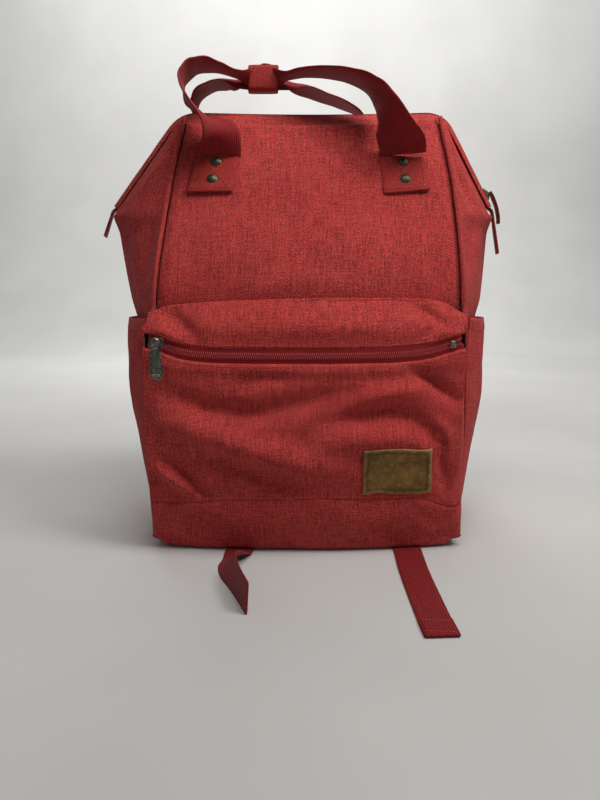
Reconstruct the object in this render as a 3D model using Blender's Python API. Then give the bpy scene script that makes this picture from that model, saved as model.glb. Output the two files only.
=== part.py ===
# Wide-mouth framed backpack, standing upright on its base.
# Metres, +Z up, front facing -Y, +X to the viewer's right.
# Origin: centre of the underside of the base.
import math

import bmesh
import bpy
import numpy as np
from mathutils import Matrix, Vector

MM = 0.001

# Driving dimensions, in millimetres unless the name says otherwise.
CANVAS = 1.8
LINING_CLOTH = 0.8
BACK_FOAM = 5.0
SEAM_GAP = 0.4
POCKET_TOP = 221.0
UPPER_BOTTOM = 223.0
TOP_SEAM = 374.3
HINGE_HEIGHT = 304.0
RIDGE_TOP = 388.0
LEFT_HINGE_X = -180.0
RIGHT_HINGE_X = 173.0
LEFT_TOP_X = -116.0
RIGHT_TOP_X = 126.0
ZIP_HEIGHT = 186.5
ZIP_FRONT = -104.5
ZIP_GAP = 6.8
SIDE_POCKET_TOP = 206.0
BACK_TOP = 290.0
HANDLE_WEB = 40.0
HANDLE_WEB_THICK = 1.6
FRONT_HANDLE_PIVOT = (-43.0, 352.0)
REAR_HANDLE_PIVOT = (48.0, 352.0)
STRAP_WEB = 25.0
STRAP_WEB_THICK = 1.4
GROOVE = 2.0
TAIL_LEFT_X = -60.0
TAIL_RIGHT_X = 90.0
PIPING_RADIUS = 1.9
WIRE_RADIUS = 1.7
RIVET_RADIUS = 4.5

# Outline of the bag: (height, value) stations.
FRONT_CORNER_LEFT = ((0, 139), (10, 140), (100, 139), (187, 136), (221, 131), (307, 121), (380, 109))
FRONT_CORNER_RIGHT = ((0, 139), (10, 139.5), (100, 137), (187, 132.5), (221, 133), (307, 129), (380, 118))
REAR_CORNER = ((0, 139), (10, 139), (100, 137), (200, 133), (290, 127), (380, 112))
RIDGE_LEFT = ((0, 139.5), (8, 140.5), (50, 149), (100, 156), (150, 160), (190, 161.5), (206, 163), (222, 168), (300, 179), (306, 180))
RIDGE_RIGHT = ((0, 139.5), (8, 140.5), (50, 149), (100, 156), (150, 160), (190, 161.5), (206, 163), (222, 167), (300, 173), (306, 173))
POCKET_RIDGE = ((0, 142), (14, 144), (50, 156), (100, 166), (150, 172), (190, 173), (206, 171.5))
FRONT_DEPTH = ((8, 76), (221, 76), (307, 50), (380, 20.5))
FRONT_BULGE = ((8, 0), (180, 2), (221, 9), (307, 8), (380, 3))
POCKET_DEPTH = ((10, 86), (43, 96), (100, 99), (187, 99), (205, 93), (221, 80))
POCKET_BULGE = ((10, 10), (47, 9), (105, 13), (150, 10.5), (165, 6.8), (187, 5.5), (205, 8), (221, 9))
REAR_DEPTH = ((0, 80), (10, 82), (290, 82), (310, 69), (349, 44), (380, 20.5))


def clear_scene():
    for obj in list(bpy.data.objects):
        bpy.data.objects.remove(obj, do_unlink=True)


def paint(name, colour, roughness, metallic=0.0):
    material = bpy.data.materials.new(name)
    material.use_nodes = True
    shader = material.node_tree.nodes["Principled BSDF"]
    shader.inputs["Base Color"].default_value = (*colour, 1.0)
    shader.inputs["Roughness"].default_value = roughness
    shader.inputs["Metallic"].default_value = metallic
    return material


def along(stations, height):
    """Smooth, monotone value of a station list at a height."""
    heights = [station[0] for station in stations]
    values = [station[1] for station in stations]
    if height <= heights[0]:
        return values[0]
    if height >= heights[-1]:
        return values[-1]
    slopes = []
    for i in range(len(heights) - 1):
        slopes.append((values[i + 1] - values[i]) / (heights[i + 1] - heights[i]))
    tangents = [slopes[0]]
    for before, after in zip(slopes, slopes[1:]):
        if before * after <= 0:
            tangents.append(0.0)
        else:
            tangents.append(2 * before * after / (before + after))
    tangents.append(slopes[-1])
    for i in range(len(heights) - 1):
        if height <= heights[i + 1]:
            break
    span = heights[i + 1] - heights[i]
    t = (height - heights[i]) / span
    rise = (2 * t**3 - 3 * t**2 + 1) * values[i] + (3 * t**2 - 2 * t**3) * values[i + 1]
    lean = (t**3 - 2 * t**2 + t) * tangents[i] + (t**3 - t**2) * tangents[i + 1]
    return rise + lean * span


def front_corner(side, z):
    return side * along(FRONT_CORNER_LEFT if side < 0 else FRONT_CORNER_RIGHT, z)


def ridge(side, z):
    return side * along(RIDGE_LEFT if side < 0 else RIDGE_RIGHT, z)


def diagonal_ridge(side, z):
    """X of the mouth's sloping side above the hinge corner."""
    if side < 0:
        foot, head = LEFT_HINGE_X, LEFT_TOP_X
    else:
        foot, head = RIGHT_HINGE_X, RIGHT_TOP_X
    t = (z - 306.0) / (RIDGE_TOP - 306.0)
    return foot + (head - foot) * t


def bulged(z, x, depth, bulge):
    side = -1 if x < 0 else 1
    reach = min(1.0, abs(x / front_corner(side, z)))
    return -(along(depth, z) + along(bulge, z) * (1 - reach**2))


def front_y(x, z):
    return bulged(z, x, FRONT_DEPTH, FRONT_BULGE)


def pocket_y(x, z):
    return bulged(z, x, POCKET_DEPTH, POCKET_BULGE)


def built(name, points, faces, material, origin=(0, 0, 0), smooth=False):
    """A mesh object from points in millimetres, its own origin at the given place."""
    base = Vector(origin)
    mesh = bpy.data.meshes.new(name)
    mesh.from_pydata([(Vector(p) - base) * MM for p in points], [], faces)
    work = bmesh.new()
    work.from_mesh(mesh)
    bmesh.ops.recalc_face_normals(work, faces=work.faces)
    if work.calc_volume(signed=True) < 0:
        bmesh.ops.reverse_faces(work, faces=work.faces)
    work.to_mesh(mesh)
    work.free()
    for face in mesh.polygons:
        face.use_smooth = smooth
    mesh.materials.append(material)
    obj = bpy.data.objects.new(name, mesh)
    bpy.context.scene.collection.objects.link(obj)
    obj.location = base * MM
    return obj


def ride(obj, empty):
    """Parents a piece to the empty on its joint axis, without moving it."""
    bpy.context.view_layer.update()
    obj.parent = empty
    obj.matrix_parent_inverse = empty.matrix_world.inverted()


def axis_empty(name, place, parent=None):
    empty = bpy.data.objects.new(name, None)
    bpy.context.scene.collection.objects.link(empty)
    empty.location = Vector(place) * MM
    if parent is not None:
        ride(empty, parent)
    bpy.context.view_layer.update()
    return empty


def grid_normals(rows, centre):
    """Unit normals of a grid of points, all facing away from the centre."""
    grid = np.array([[tuple(p) for p in row] for row in rows], float)
    down = np.gradient(grid, axis=0)
    across = np.gradient(grid, axis=1)
    normals = np.cross(down, across)
    lengths = np.linalg.norm(normals, axis=2, keepdims=True)
    normals = normals / np.maximum(lengths, 1e-9)
    facing = np.sum(normals * (grid - np.array(centre, float)), axis=2)
    sign = 1.0 if np.sum(facing) > 0 else -1.0
    return grid, normals * sign


def sheet(name, rows, thickness, material, centre=(0, 0, 150), smooth=True):
    """A closed sheet: the rows are its outer face, and it grows inwards."""
    grid, normals = grid_normals(rows, centre)
    inner = grid - normals * thickness
    count, width = grid.shape[:2]
    points = [tuple(p) for p in grid.reshape(-1, 3)]
    points += [tuple(p) for p in inner.reshape(-1, 3)]
    offset = count * width
    faces = []
    for i in range(count - 1):
        for j in range(width - 1):
            a = i * width + j
            faces.append((a, a + 1, a + width + 1, a + width))
            faces.append((offset + a, offset + a + width, offset + a + width + 1, offset + a + 1))
    rim = [j for j in range(width)]
    rim += [i * width + width - 1 for i in range(1, count)]
    rim += [(count - 1) * width + j for j in range(width - 2, -1, -1)]
    rim += [i * width for i in range(count - 2, 0, -1)]
    for a, b in zip(rim, rim[1:] + rim[:1]):
        faces.append((a, offset + a, offset + b, b))
    return built(name, points, faces, material, smooth=smooth)


def lofted(name, sections, material, origin=(0, 0, 0), smooth=True, closed=False):
    """A solid through equal-sized loops of points, capped unless it closes on itself."""
    size = len(sections[0])
    points = [tuple(p) for section in sections for p in section]
    faces = []
    last = len(sections) if closed else len(sections) - 1
    for i in range(last):
        a = i * size
        b = ((i + 1) % len(sections)) * size
        for j in range(size):
            k = (j + 1) % size
            faces.append((a + j, a + k, b + k, b + j))
    if not closed:
        faces.append(tuple(range(size - 1, -1, -1)))
        faces.append(tuple(range((len(sections) - 1) * size, len(sections) * size)))
    return built(name, points, faces, material, origin, smooth)


def directions(points):
    out = []
    for i in range(len(points)):
        ahead = Vector(points[min(i + 1, len(points) - 1)])
        behind = Vector(points[max(i - 1, 0)])
        out.append((ahead - behind).normalized())
    return out


def ribbon(name, stations, thickness, material, origin=(0, 0, 0)):
    """A flat strap through stations of (centre, across, width, extra thickness)."""
    points = []
    tangents = directions([station[0] for station in stations])
    for station, tangent in zip(stations, tangents):
        centre = Vector(station[0])
        across = Vector(station[1])
        across = (across - tangent * across.dot(tangent)).normalized()
        normal = tangent.cross(across)
        half = station[2] / 2
        rise = (thickness + (station[3] if len(station) > 3 else 0.0)) / 2
        points += [
            centre + across * half + normal * rise,
            centre - across * half + normal * rise,
            centre - across * half - normal * rise,
            centre + across * half - normal * rise,
        ]
    faces = [(0, 3, 2, 1)]
    for a in range(0, len(points) - 4, 4):
        b = a + 4
        # both broad faces are split along the same diagonal, so a twist can't make them cross
        faces += [(a, a + 1, b + 1), (a, b + 1, b), (a + 3, b + 2, a + 2), (a + 3, b + 3, b + 2)]
        faces += [(a + 1, a + 2, b + 2, b + 1), (a + 3, a, b, b + 3)]
    end = len(points) - 4
    faces.append((end, end + 1, end + 2, end + 3))
    return built(name, points, faces, material, origin, smooth=True)


def tube(name, points, radius, material, sides=8):
    sections = []
    tangents = directions(points)
    guide = Vector((0, 0, 1)) if abs(tangents[0].z) < 0.9 else Vector((1, 0, 0))
    for point, tangent in zip(points, tangents):
        first = (guide - tangent * guide.dot(tangent)).normalized()
        second = tangent.cross(first)
        guide = first
        loop = []
        for k in range(sides):
            angle = 2 * math.pi * k / sides
            loop.append(Vector(point) + first * radius * math.cos(angle) + second * radius * math.sin(angle))
        sections.append(loop)
    return lofted(name, sections, material)


def subdivided(points, step):
    """Extra points on each straight piece so none is longer than the step."""
    out = [Vector(points[0])]
    for a, b in zip(points, points[1:]):
        a, b = Vector(a), Vector(b)
        pieces = max(1, round((b - a).length / step))
        for k in range(1, pieces + 1):
            out.append(a.lerp(b, k / pieces))
    return out


def spread(low, high, count):
    return [low + (high - low) * k / (count - 1) for k in range(count)]


def front_columns(z, inset, count):
    left = front_corner(-1, z) + inset
    right = front_corner(1, z) - inset
    return spread(left, right, count)


# ---------------------------------------------------------------- body panels


def base_lift(x):
    """Height of the underside over the floor: two shallow channels for the strap tails."""
    for centre in (TAIL_LEFT_X, TAIL_RIGHT_X):
        if abs(x - centre) < 15.0:
            return GROOVE
    return 0.0


def make_base_panel(cloth):
    ends = ((139.3, 7.5, 1.0), (138.6, 3.6, 0.5), (135.8, 0.9, 0.12), (130.0, 0.0, 0.0))
    columns = [(-x, lift, back) for x, lift, back in ends]
    inner = [-100, TAIL_LEFT_X - 17, TAIL_LEFT_X - 15.1, TAIL_LEFT_X - 14.9, TAIL_LEFT_X + 14.9]
    inner += [TAIL_LEFT_X + 17, -20, 20, 50, TAIL_RIGHT_X - 17, TAIL_RIGHT_X - 14.9]
    inner += [TAIL_RIGHT_X + 14.9, TAIL_RIGHT_X + 17]
    inner.remove(TAIL_LEFT_X - 15.1)
    columns += [(x, 0.0, 0.0) for x in inner]
    columns += [(x, lift, back) for x, lift, back in reversed(ends)]
    profile = []
    for z in (46.0, 36.0, 25.0, 14.0):
        profile.append((None, z, 1.0))
    profile += [(-88.0, 6.5, 0.7), (-83.5, 2.0, 0.3), (-77.0, 0.0, 0.0), (-50.0, 0.0, 0.0)]
    profile += [(0.0, 0.0, 0.0), (50.0, 0.0, 0.0), (76.0, 0.0, 0.0), (80.5, 1.4, 0.0), (82.0, 7.6, 0.0)]
    rows = []
    for y, z, wrap in profile:
        row = []
        for x, lift, back in columns:
            if y is None:
                raised = z + (z / 46.0) * 5.5 * (1 - min(1.0, abs(x) / 139.5) ** 2)
                front = pocket_y(x, z)
                row.append((x, front + back * (-80.4 - front), raised))
                continue
            bow = -6.0 * wrap * (1 - (x / 139.5) ** 2)
            low = max(lift, z)
            if z <= 2.0:
                low = max(low, base_lift(x))
            row.append((x, y + bow + back * wrap * (-80.4 - y), low))
        rows.append(row)
    return sheet("base_panel", rows, 1.6, cloth)


def make_base_board(board):
    corners = []
    for sx, sy in ((1, 1), (-1, 1), (-1, -1), (1, -1)):
        for turn in (0.0, 45.0, 90.0):
            angle = math.radians(turn + {(1, 1): 0, (-1, 1): 90, (-1, -1): 180, (1, -1): 270}[(sx, sy)])
            corners.append((sx * 118 + 8 * math.cos(angle), sy * 58 + 8 * math.sin(angle)))
    sections = [[(x, y, z) for x, y in corners] for z in (4.1, 6.1)]
    return lofted("base_board", sections, board, smooth=False)


def make_front_wall(cloth):
    rows = []
    for z in (9.5, 50, 100, 150, 190, 220.6):
        left = front_corner(-1, z) + 3.4
        right = front_corner(1, z) - 3.4
        rows.append([(x, front_y(x, z), z) for x in spread(left, right, 9)])
    return sheet("front_wall", rows, CANVAS, cloth)


def make_front_panel(cloth):
    rows = []
    for z in spread(UPPER_BOTTOM, TOP_SEAM, 11):
        rows.append([(x, front_y(x, z), z) for x in front_columns(z, 2.5, 12)])
    return sheet("front_panel", rows, CANVAS, cloth)


def pocket_row(z, lift, deep):
    """One level of the pocket shell, with short returns round both corners."""
    row = []
    left = front_corner(-1, z)
    right = front_corner(1, z)
    back = pocket_y(left, z)
    row.append((left - 0.8, -80.4 + lift, z))
    row.append((left - 0.6, (back - 80.4) / 2 - 1 + lift, z))
    for x in spread(left + 4.5, right - 4.5, deep):
        row.append((x, pocket_y(x, z), z))
    row.append((right + 0.6, (back - 80.4) / 2 - 1 + lift, z))
    row.append((right + 0.8, -80.4 + lift, z))
    return row


def make_pocket_panel(cloth):
    rows = []
    for k, z in enumerate((47.2, 60, 80, 105, 130, 150, 165, 174, ZIP_HEIGHT - ZIP_GAP)):
        row = pocket_row(z, 0.0, 11)
        if k < 3:
            bow = (5.5, 4.0, 2.0)[k]
            row = [(x, y, z + bow * (1 - min(1.0, abs(x) / 139.5) ** 2)) for x, y, z in row]
        rows.append(row)
    return sheet("pocket_panel", rows, 1.4, cloth)


def make_pocket_flap(cloth):
    rows = []
    for z in (ZIP_HEIGHT + ZIP_GAP, 199, 206, 213, 218, POCKET_TOP):
        row = pocket_row(z, 0.0, 11)
        if z > 215:
            row = [(x, min(y, pocket_y(x, z)), z) for x, y, z in row]
        rows.append(row)
    return sheet("pocket_flap", rows, 1.4, cloth)


def zip_strip(name, low, high, front, thickness, material):
    left = front_corner(-1, ZIP_HEIGHT) + 5.5
    right = front_corner(1, ZIP_HEIGHT) - 5.5
    rows = []
    for z in (low, high):
        rows.append([(x, front, z) for x in spread(left, right, 6)])
    return sheet(name, rows, thickness, material, smooth=False)


def make_pocket_zip(tape, teeth):
    front = ZIP_FRONT + 1.0
    zip_strip("pocket_zip_tape_lower", ZIP_HEIGHT - 6.4, ZIP_HEIGHT - 1.9, front, 0.8, tape)
    zip_strip("pocket_zip_tape_upper", ZIP_HEIGHT + 1.9, ZIP_HEIGHT + 6.4, front, 0.8, tape)
    zip_strip("pocket_zip_coil", ZIP_HEIGHT - 1.6, ZIP_HEIGHT + 1.6, front - 0.6, 1.6, teeth)


def side_row(side, z, rise, front_edge, rear_edge, count, top):
    """Level of a side wall: from the front edge, out to the side fold, to the rear edge."""
    row = []
    for y in spread(front_edge, rear_edge, count):
        if y < 0:
            corner = front_corner(side, z)
            t = abs(y / front_edge)
        else:
            corner = side * along(REAR_CORNER, z)
            t = y / rear_edge
        reach = side * along(top, z)
        x = corner + (reach - corner) * (1 - t**1.7)
        row.append((x + side * rise * (1 - t**6), y, z))
    return row


def make_side_panel(side, name, cloth):
    top = RIDGE_LEFT if side < 0 else RIDGE_RIGHT
    rows = [side_row(side, z, 0.0, -77.0, 76.0, 13, top) for z in (8.4, 30, 60, 100, 140, 180, 206, 221.4)]
    return sheet(name, rows, CANVAS, cloth)


def make_side_pocket(side, name, cloth):
    levels = (14, 30, 60, 100, 140, 180, SIDE_POCKET_TOP)
    inner = RIDGE_LEFT if side < 0 else RIDGE_RIGHT
    rows = []
    for z in levels:
        base = side_row(side, z, 0.0, -77.0, 76.0, 13, inner)
        swell = along(POCKET_RIDGE, z) - along(inner, z)
        row = []
        for x, y, level in base[1:-1]:
            t = abs(y) / 66.0
            off = 2.3 + max(0.0, swell - 2.3) * (1 - min(1.0, t) ** 4)
            row.append((x + side * off, y, level))
        rows.append(row)
    return sheet(name, rows, 1.4, cloth)


def gusset_point(side, face, z, t):
    """Point of a sloping upper gusset: t runs from its front or rear seam to the side fold."""
    if face < 0:
        seam = Vector((front_corner(side, z) + side * 2.4, -along(FRONT_DEPTH, z) + 0.6, z))
    else:
        seam = Vector((side * (along(REAR_CORNER, z) + 0.6), min(76.0, along(REAR_DEPTH, z) - 3.0), z))
    if z < 298:
        fold = Vector((ridge(side, z), face * (1.8 + 12.8 * max(0.0, z - 284) / 14), z))
    else:
        fold = Vector((diagonal_ridge(side, z) - side * 8.0, face * 14.6, z))
    point = seam.lerp(fold, t)
    swell = 3.0 * math.sin(math.pi * t)
    point.x += side * swell * 0.7
    point.y += face * swell * 0.7
    return point


def make_gusset(side, face, name, cloth):
    rows = []
    for z in (UPPER_BOTTOM, 240, 262, 284, 298, 308, 322, 338, 354, TOP_SEAM - 1.5):
        rows.append([gusset_point(side, face, z, t) for t in spread(0.0, 1.0, 6)])
    return sheet(name, rows, CANVAS, cloth)


def make_piping(side, name, cord):
    points = []
    for z in spread(UPPER_BOTTOM, 376.0, 13):
        points.append((front_corner(side, z), -along(FRONT_DEPTH, z) - 0.4, z))
    return tube(name, points, PIPING_RADIUS, cord, 8)


def make_back_panel(cloth):
    rows = []
    for z in (8.8, 60, 120, 180, 240, BACK_TOP):
        half = along(REAR_CORNER, z)
        rows.append([(x, 82.0, z) for x in spread(-half, half, 7)])
    return sheet("back_panel", rows, BACK_FOAM, cloth, smooth=False)


def make_back_pad(mesh_cloth):
    sections = []
    for y, inset in ((82.5, 0.0), (86.0, 0.6), (88.0, 5.0)):
        loop = []
        for cx, cz, start in ((1, 1, 0), (-1, 1, 90), (-1, -1, 180), (1, -1, 270)):
            for turn in (0, 30, 60, 90):
                angle = math.radians(start + turn)
                x = cx * 82 + (18 - inset) * math.cos(angle)
                z = 145 + cz * 92 + (18 - inset) * math.sin(angle)
                loop.append((x, y, z))
        sections.append(loop)
    return lofted("back_pad", sections, mesh_cloth, smooth=False)


def make_rear_panel(cloth):
    rows = []
    for z in spread(BACK_TOP + 1.5, TOP_SEAM, 8):
        half = along(REAR_CORNER, z) - 1.0
        rows.append([(x, along(REAR_DEPTH, z) + 1.5 * (1 - (x / half) ** 2), z) for x in spread(-half, half, 9)])
    return sheet("rear_panel", rows, CANVAS, cloth)


def make_lining(cloth):
    """The cloth tub inside, open at the top."""
    levels = (7.4, 30, 80, 130, 180, 216)
    rings = []
    for z in levels:
        ring = []
        for y in spread(-73.0, 75.0, 9):
            ring.append(lining_x(1, z, y))
        for x in spread(0.75, -0.75, 5):
            ring.append((x * 128, 76.0, z))
        for y in spread(75.0, -73.0, 9):
            ring.append(lining_x(-1, z, y))
        for x in spread(-0.75, 0.75, 5):
            ring.append((x * 128, -73.4, z))
        rings.append(ring)
    size = len(rings[0])
    outer = [Vector(p) for ring in reversed(rings) for p in ring]
    inner = []
    for ring in rings:
        for x, y, z in ring:
            inner.append(Vector((x - LINING_CLOTH * np.sign(x) * 1.1, y - LINING_CLOTH * np.sign(y) * 1.1, z)))
    for k in range(size):
        inner[k].z += LINING_CLOTH
    points = outer + inner
    faces = []
    total = 2 * len(levels)
    for i in range(total - 1):
        if i == len(levels) - 1:
            continue
        for j in range(size):
            k = (j + 1) % size
            faces.append((i * size + j, i * size + k, (i + 1) * size + k, (i + 1) * size + j))
    for j in range(size):
        k = (j + 1) % size
        faces.append(((total - 1) * size + j, (total - 1) * size + k, k, j))
    floor_out = (len(levels) - 1) * size
    floor_in = len(levels) * size
    faces.append(tuple(floor_out + j for j in range(size)))
    faces.append(tuple(floor_in + j for j in reversed(range(size))))
    return built("lining", points, faces, cloth, smooth=False)


def lining_x(side, z, y):
    inner = RIDGE_LEFT if side < 0 else RIDGE_RIGHT
    corner = front_corner(side, z) if y < 0 else side * along(REAR_CORNER, z)
    t = abs(y / 77.0)
    x = corner + (side * along(inner, z) - corner) * (1 - t**1.7)
    return (x - side * 4.2, y, z)


def make_laptop_sleeve(cloth):
    rows = []
    for z in (10.5, 70, 130, 190):
        rows.append([(-104, 74.0, z), (-103, 69.0, z), (-98, 62.0, z), (-50, 60.0, z), (0, 59.5, z),
                     (50, 60.0, z), (98, 62.0, z), (103, 69.0, z), (104, 74.0, z)])
    return sheet("laptop_sleeve", rows, 1.6, cloth, centre=(0, 200, 100), smooth=False)


# ---------------------------------------------------------------- label


def make_label(leather):
    rows = []
    for z in spread(58.0, 98.0, 4):
        rows.append([(x, pocket_y(x, z) - 1.9, z) for x in spread(48.0, 106.0, 6)])
    return sheet("label_patch", rows, 1.4, leather)


# ---------------------------------------------------------------- mouth


def mouth_path():
    """The U the mouth follows: left hinge corner, over the top, right hinge corner."""
    left_foot = Vector((LEFT_HINGE_X, 0, 306))
    left_head = Vector((LEFT_TOP_X, 0, RIDGE_TOP))
    right_head = Vector((RIGHT_TOP_X, 0, RIDGE_TOP))
    right_foot = Vector((RIGHT_HINGE_X, 0, 306))
    points = [left_foot, left_foot.lerp(left_head, 0.3), left_foot.lerp(left_head, 0.6)]
    points += rounded_corner(left_foot, left_head, right_head, 13.0)
    points += [left_head.lerp(right_head, t) for t in (0.2, 0.35, 0.5, 0.65, 0.8)]
    points += rounded_corner(left_head, right_head, right_foot, 13.0)
    points += [right_head.lerp(right_foot, 0.4), right_head.lerp(right_foot, 0.7), right_foot]
    return points


def rounded_corner(before, corner, after, cut):
    start = corner + (before - corner).normalized() * cut
    end = corner + (after - corner).normalized() * cut
    out = []
    for t in (0.0, 0.25, 0.5, 0.75, 1.0):
        out.append(start * (1 - t) ** 2 + corner * 2 * t * (1 - t) + end * t**2)
    return out


def mouth_frames():
    """(point, outward, share of top) at each station; the share is 1 on the level top bar."""
    points = mouth_path()
    frames = []
    for point, tangent in zip(points, directions(points)):
        outward = Vector((-tangent.z, 0, tangent.x))
        level = max(0.0, min(1.0, (abs(tangent.x) - 0.62) / 0.38))
        frames.append((point, outward, level))
    return frames


def swept(name, face, profile, material, smooth=True):
    """A profile of (distance from the zip line, height outwards) carried round the mouth."""
    sections = []
    for point, outward, level in mouth_frames():
        loop = []
        for across, height in profile(level):
            loop.append(point + Vector((0, face * across, 0)) + outward * height)
        sections.append(loop)
    return lofted(name, sections, material, smooth=smooth)


def tape_profile(level):
    return ((0.3, -0.6), (0.3, 1.4), (2.2, 1.4), (2.5, 0.2), (7.0, 0.2), (7.0, -0.6))


def casing_profile(level):
    reach = 6.0 + 8.0 * level
    fall = 0.9 * reach
    return ((7.4, -0.4), (7.4 + reach, -0.4 - fall), (7.4 + reach - 1.1, -1.5 - fall), (6.6, -1.8))


def wire_profile(level):
    return [(10.2 + WIRE_RADIUS * math.cos(a), -7.9 + WIRE_RADIUS * math.sin(a))
            for a in (2 * math.pi * k / 8 for k in range(8))]


def make_mouth(face, prefix, cloth, tape, steel):
    made = [swept(prefix + "_casing", face, casing_profile, cloth)]
    made.append(swept("main_zip_tape_" + prefix, face, tape_profile, tape))
    made.append(swept(prefix + "_frame_wire", face, wire_profile, steel))
    return made


def make_zip_tab(side, name, web):
    foot = LEFT_HINGE_X if side < 0 else RIGHT_HINGE_X
    if side < 0:
        centres = ((foot - 3.8, 0, 302.8), (foot - 5.8, -1, 296), (foot - 8.4, -2, 288), (foot - 11.5, -3, 279))
        widths = (16, 19, 22, 24)
    else:
        centres = ((foot + 4.2, 0, 302.2), (foot + 5.2, -1, 295), (foot + 7, -2, 280), (foot + 10, -3, 263))
        widths = (16, 18, 20, 20)
    stations = [(c, (0.25 * side, 1, 0), w) for c, w in zip(centres, widths)]
    return ribbon(name, stations, 2.6, web)


# ---------------------------------------------------------------- handles

FRONT_HANDLE = (
    ((84, -43, 352.6), (1, 0, 0), 40),
    ((83, -50, 360), (1, 0, 0), 40),
    ((77, -54, 371), (0.9, -0.4, 0.1), 40),
    ((68, -52, 383), (0.5, -0.85, 0.1), 40),
    ((57, -45, 396), (0.2, -0.98, 0), 40),
    ((42, -36, 407), (0.1, -1, 0), 40),
    ((24, -30, 413), (0, -1, 0.05), 38),
    ((6, -24, 416), (0, -0.97, 0.25), 34),
    ((-9, -15, 416.4), (0, -0.75, 0.65), 27, 0.6),
    ((-25, -6.1, 416), (0, 0, 1), 18.5, 1.7),
    ((-40, -6.0, 416), (0, 0, 1), 18, 1.8),
    ((-54, -6.1, 416), (0, 0, 1), 18.5, 1.7),
    ((-69, -14, 420), (0, -0.75, 0.65), 27, 0.6),
    ((-83, -24, 422), (0, -0.97, 0.2), 34),
    ((-96, -32, 418), (0, -1, 0.05), 38),
    ((-104, -40, 407), (0, -1, 0.05), 40),
    ((-102, -46, 395), (-0.1, -1, 0), 40),
    ((-96, -51, 384), (-0.35, -0.93, 0), 40),
    ((-88, -54, 371), (-0.85, -0.5, 0), 40),
    ((-83.5, -50, 360), (-1, -0.05, 0), 40),
    ((-82, -43, 352.6), (-1, 0, 0), 40),
)
REAR_HANDLE = (
    ((84, 48, 352.6), (1, 0, 0), 40),
    ((83, 52, 360), (1, 0, 0), 40),
    ((75, 54, 373), (0.9, 0.4, 0.1), 40),
    ((66, 52, 387), (0.55, 0.83, 0), 40),
    ((52, 46, 400), (0.2, 0.98, 0), 40),
    ((34, 38, 408), (0.1, 1, 0), 40),
    ((14, 29, 412), (0, 0.98, 0.2), 36),
    ((-7, 15, 415), (0, 0.75, 0.65), 28, 0.6),
    ((-25, -2.1, 416), (0, 0, 1), 18.5, 1.7),
    ((-40, -2.2, 416), (0, 0, 1), 18, 1.8),
    ((-54, -2.1, 416), (0, 0, 1), 18.5, 1.7),
    ((-70, 15, 416), (0, 0.75, 0.65), 28, 0.6),
    ((-85, 27, 415), (0, 0.98, 0.2), 36),
    ((-98, 36, 411), (-0.1, 1, 0), 40),
    ((-105, 44, 401), (-0.2, 0.98, 0), 40),
    ((-102, 50, 389), (-0.5, 0.87, 0), 40),
    ((-92, 54, 374), (-0.85, 0.5, 0), 40),
    ((-83, 52, 361), (-1, 0.05, 0), 40),
    ((-82.4, 48, 353), (-1, 0, 0), 40),
)


def make_handle(name, stations, web, pivot):
    return ribbon(name, stations, HANDLE_WEB_THICK, web, pivot)


def rounded_rectangle(half_y, half_z, radius, centre_y, centre_z):
    loop = []
    for sy, sz, start in ((1, 1, 0), (-1, 1, 90), (-1, -1, 180), (1, -1, 270)):
        for turn in (0, 30, 60, 90):
            angle = math.radians(start + turn)
            y = centre_y + sy * (half_y - radius) + radius * math.cos(angle)
            z = centre_z + sz * (half_z - radius) + radius * math.sin(angle)
            loop.append((y, z))
    return loop


def make_wrap(web):
    """A closed band of webbing round both handles."""
    outer = rounded_rectangle(6.2, 12.8, 2.8, -4.1, 416.0)
    inner = rounded_rectangle(4.7, 11.3, 1.3, -4.1, 416.0)
    sections = []
    for loop, x in ((outer, -52.0), (outer, -27.0), (inner, -27.0), (inner, -52.0)):
        sections.append([(x, y, z) for y, z in loop])
    return lofted("handle_wrap", sections, web, closed=True, smooth=False)


def make_domed(name, centre, normal, radius, height, metal, sides=16):
    """A shallow domed cap standing on its flat face, along the normal."""
    axis = Vector(normal).normalized()
    guide = Vector((1, 0, 0)) if abs(axis.x) < 0.9 else Vector((0, 1, 0))
    first = (guide - axis * guide.dot(axis)).normalized()
    second = axis.cross(first)
    sections = []
    for share, rise in ((1.0, 0.0), (1.0, 0.35), (0.86, 0.7), (0.5, 0.94), (0.15, 1.0)):
        loop = []
        for k in range(sides):
            angle = 2 * math.pi * k / sides
            out = first * math.cos(angle) + second * math.sin(angle)
            loop.append(Vector(centre) + out * radius * share + axis * height * rise)
        sections.append(loop)
    return lofted(name, sections, metal)


def make_patch(face, side, name, web):
    """The flat stitched end of a handle on the upper panel."""
    low, high = (314.0, 348.6)
    middle = 84.5 if side > 0 else -82.0
    rows = []
    for z in spread(low, high, 4):
        row = []
        for x in spread(middle - HANDLE_WEB / 2, middle + HANDLE_WEB / 2, 4):
            y = panel_face(face, x, z)
            row.append((x, y + face * 2.6, z))
        rows.append(row)
    return sheet(name, rows, 1.6, web, smooth=False)


def panel_face(face, x, z):
    if face < 0:
        return front_y(x, z)
    half = along(REAR_CORNER, z) - 1.0
    return along(REAR_DEPTH, z) + 1.5 * (1 - (x / half) ** 2)


def make_rivets(face, side, prefix, metal):
    middle = 84.5 if side > 0 else -80.0
    slope = (panel_face(face, middle, 345) - panel_face(face, middle, 320)) / 25.0
    normal = Vector((0, 1, -slope)) * face
    made = []
    for label, z in (("upper", 339.5), ("lower", 324.0)):
        foot = Vector((middle, panel_face(face, middle, z) + face * 3.05, z))
        made.append(make_domed(prefix + "_" + label, foot, normal, RIVET_RADIUS, 1.9, metal))
    return made


# ---------------------------------------------------------------- zip pullers


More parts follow.
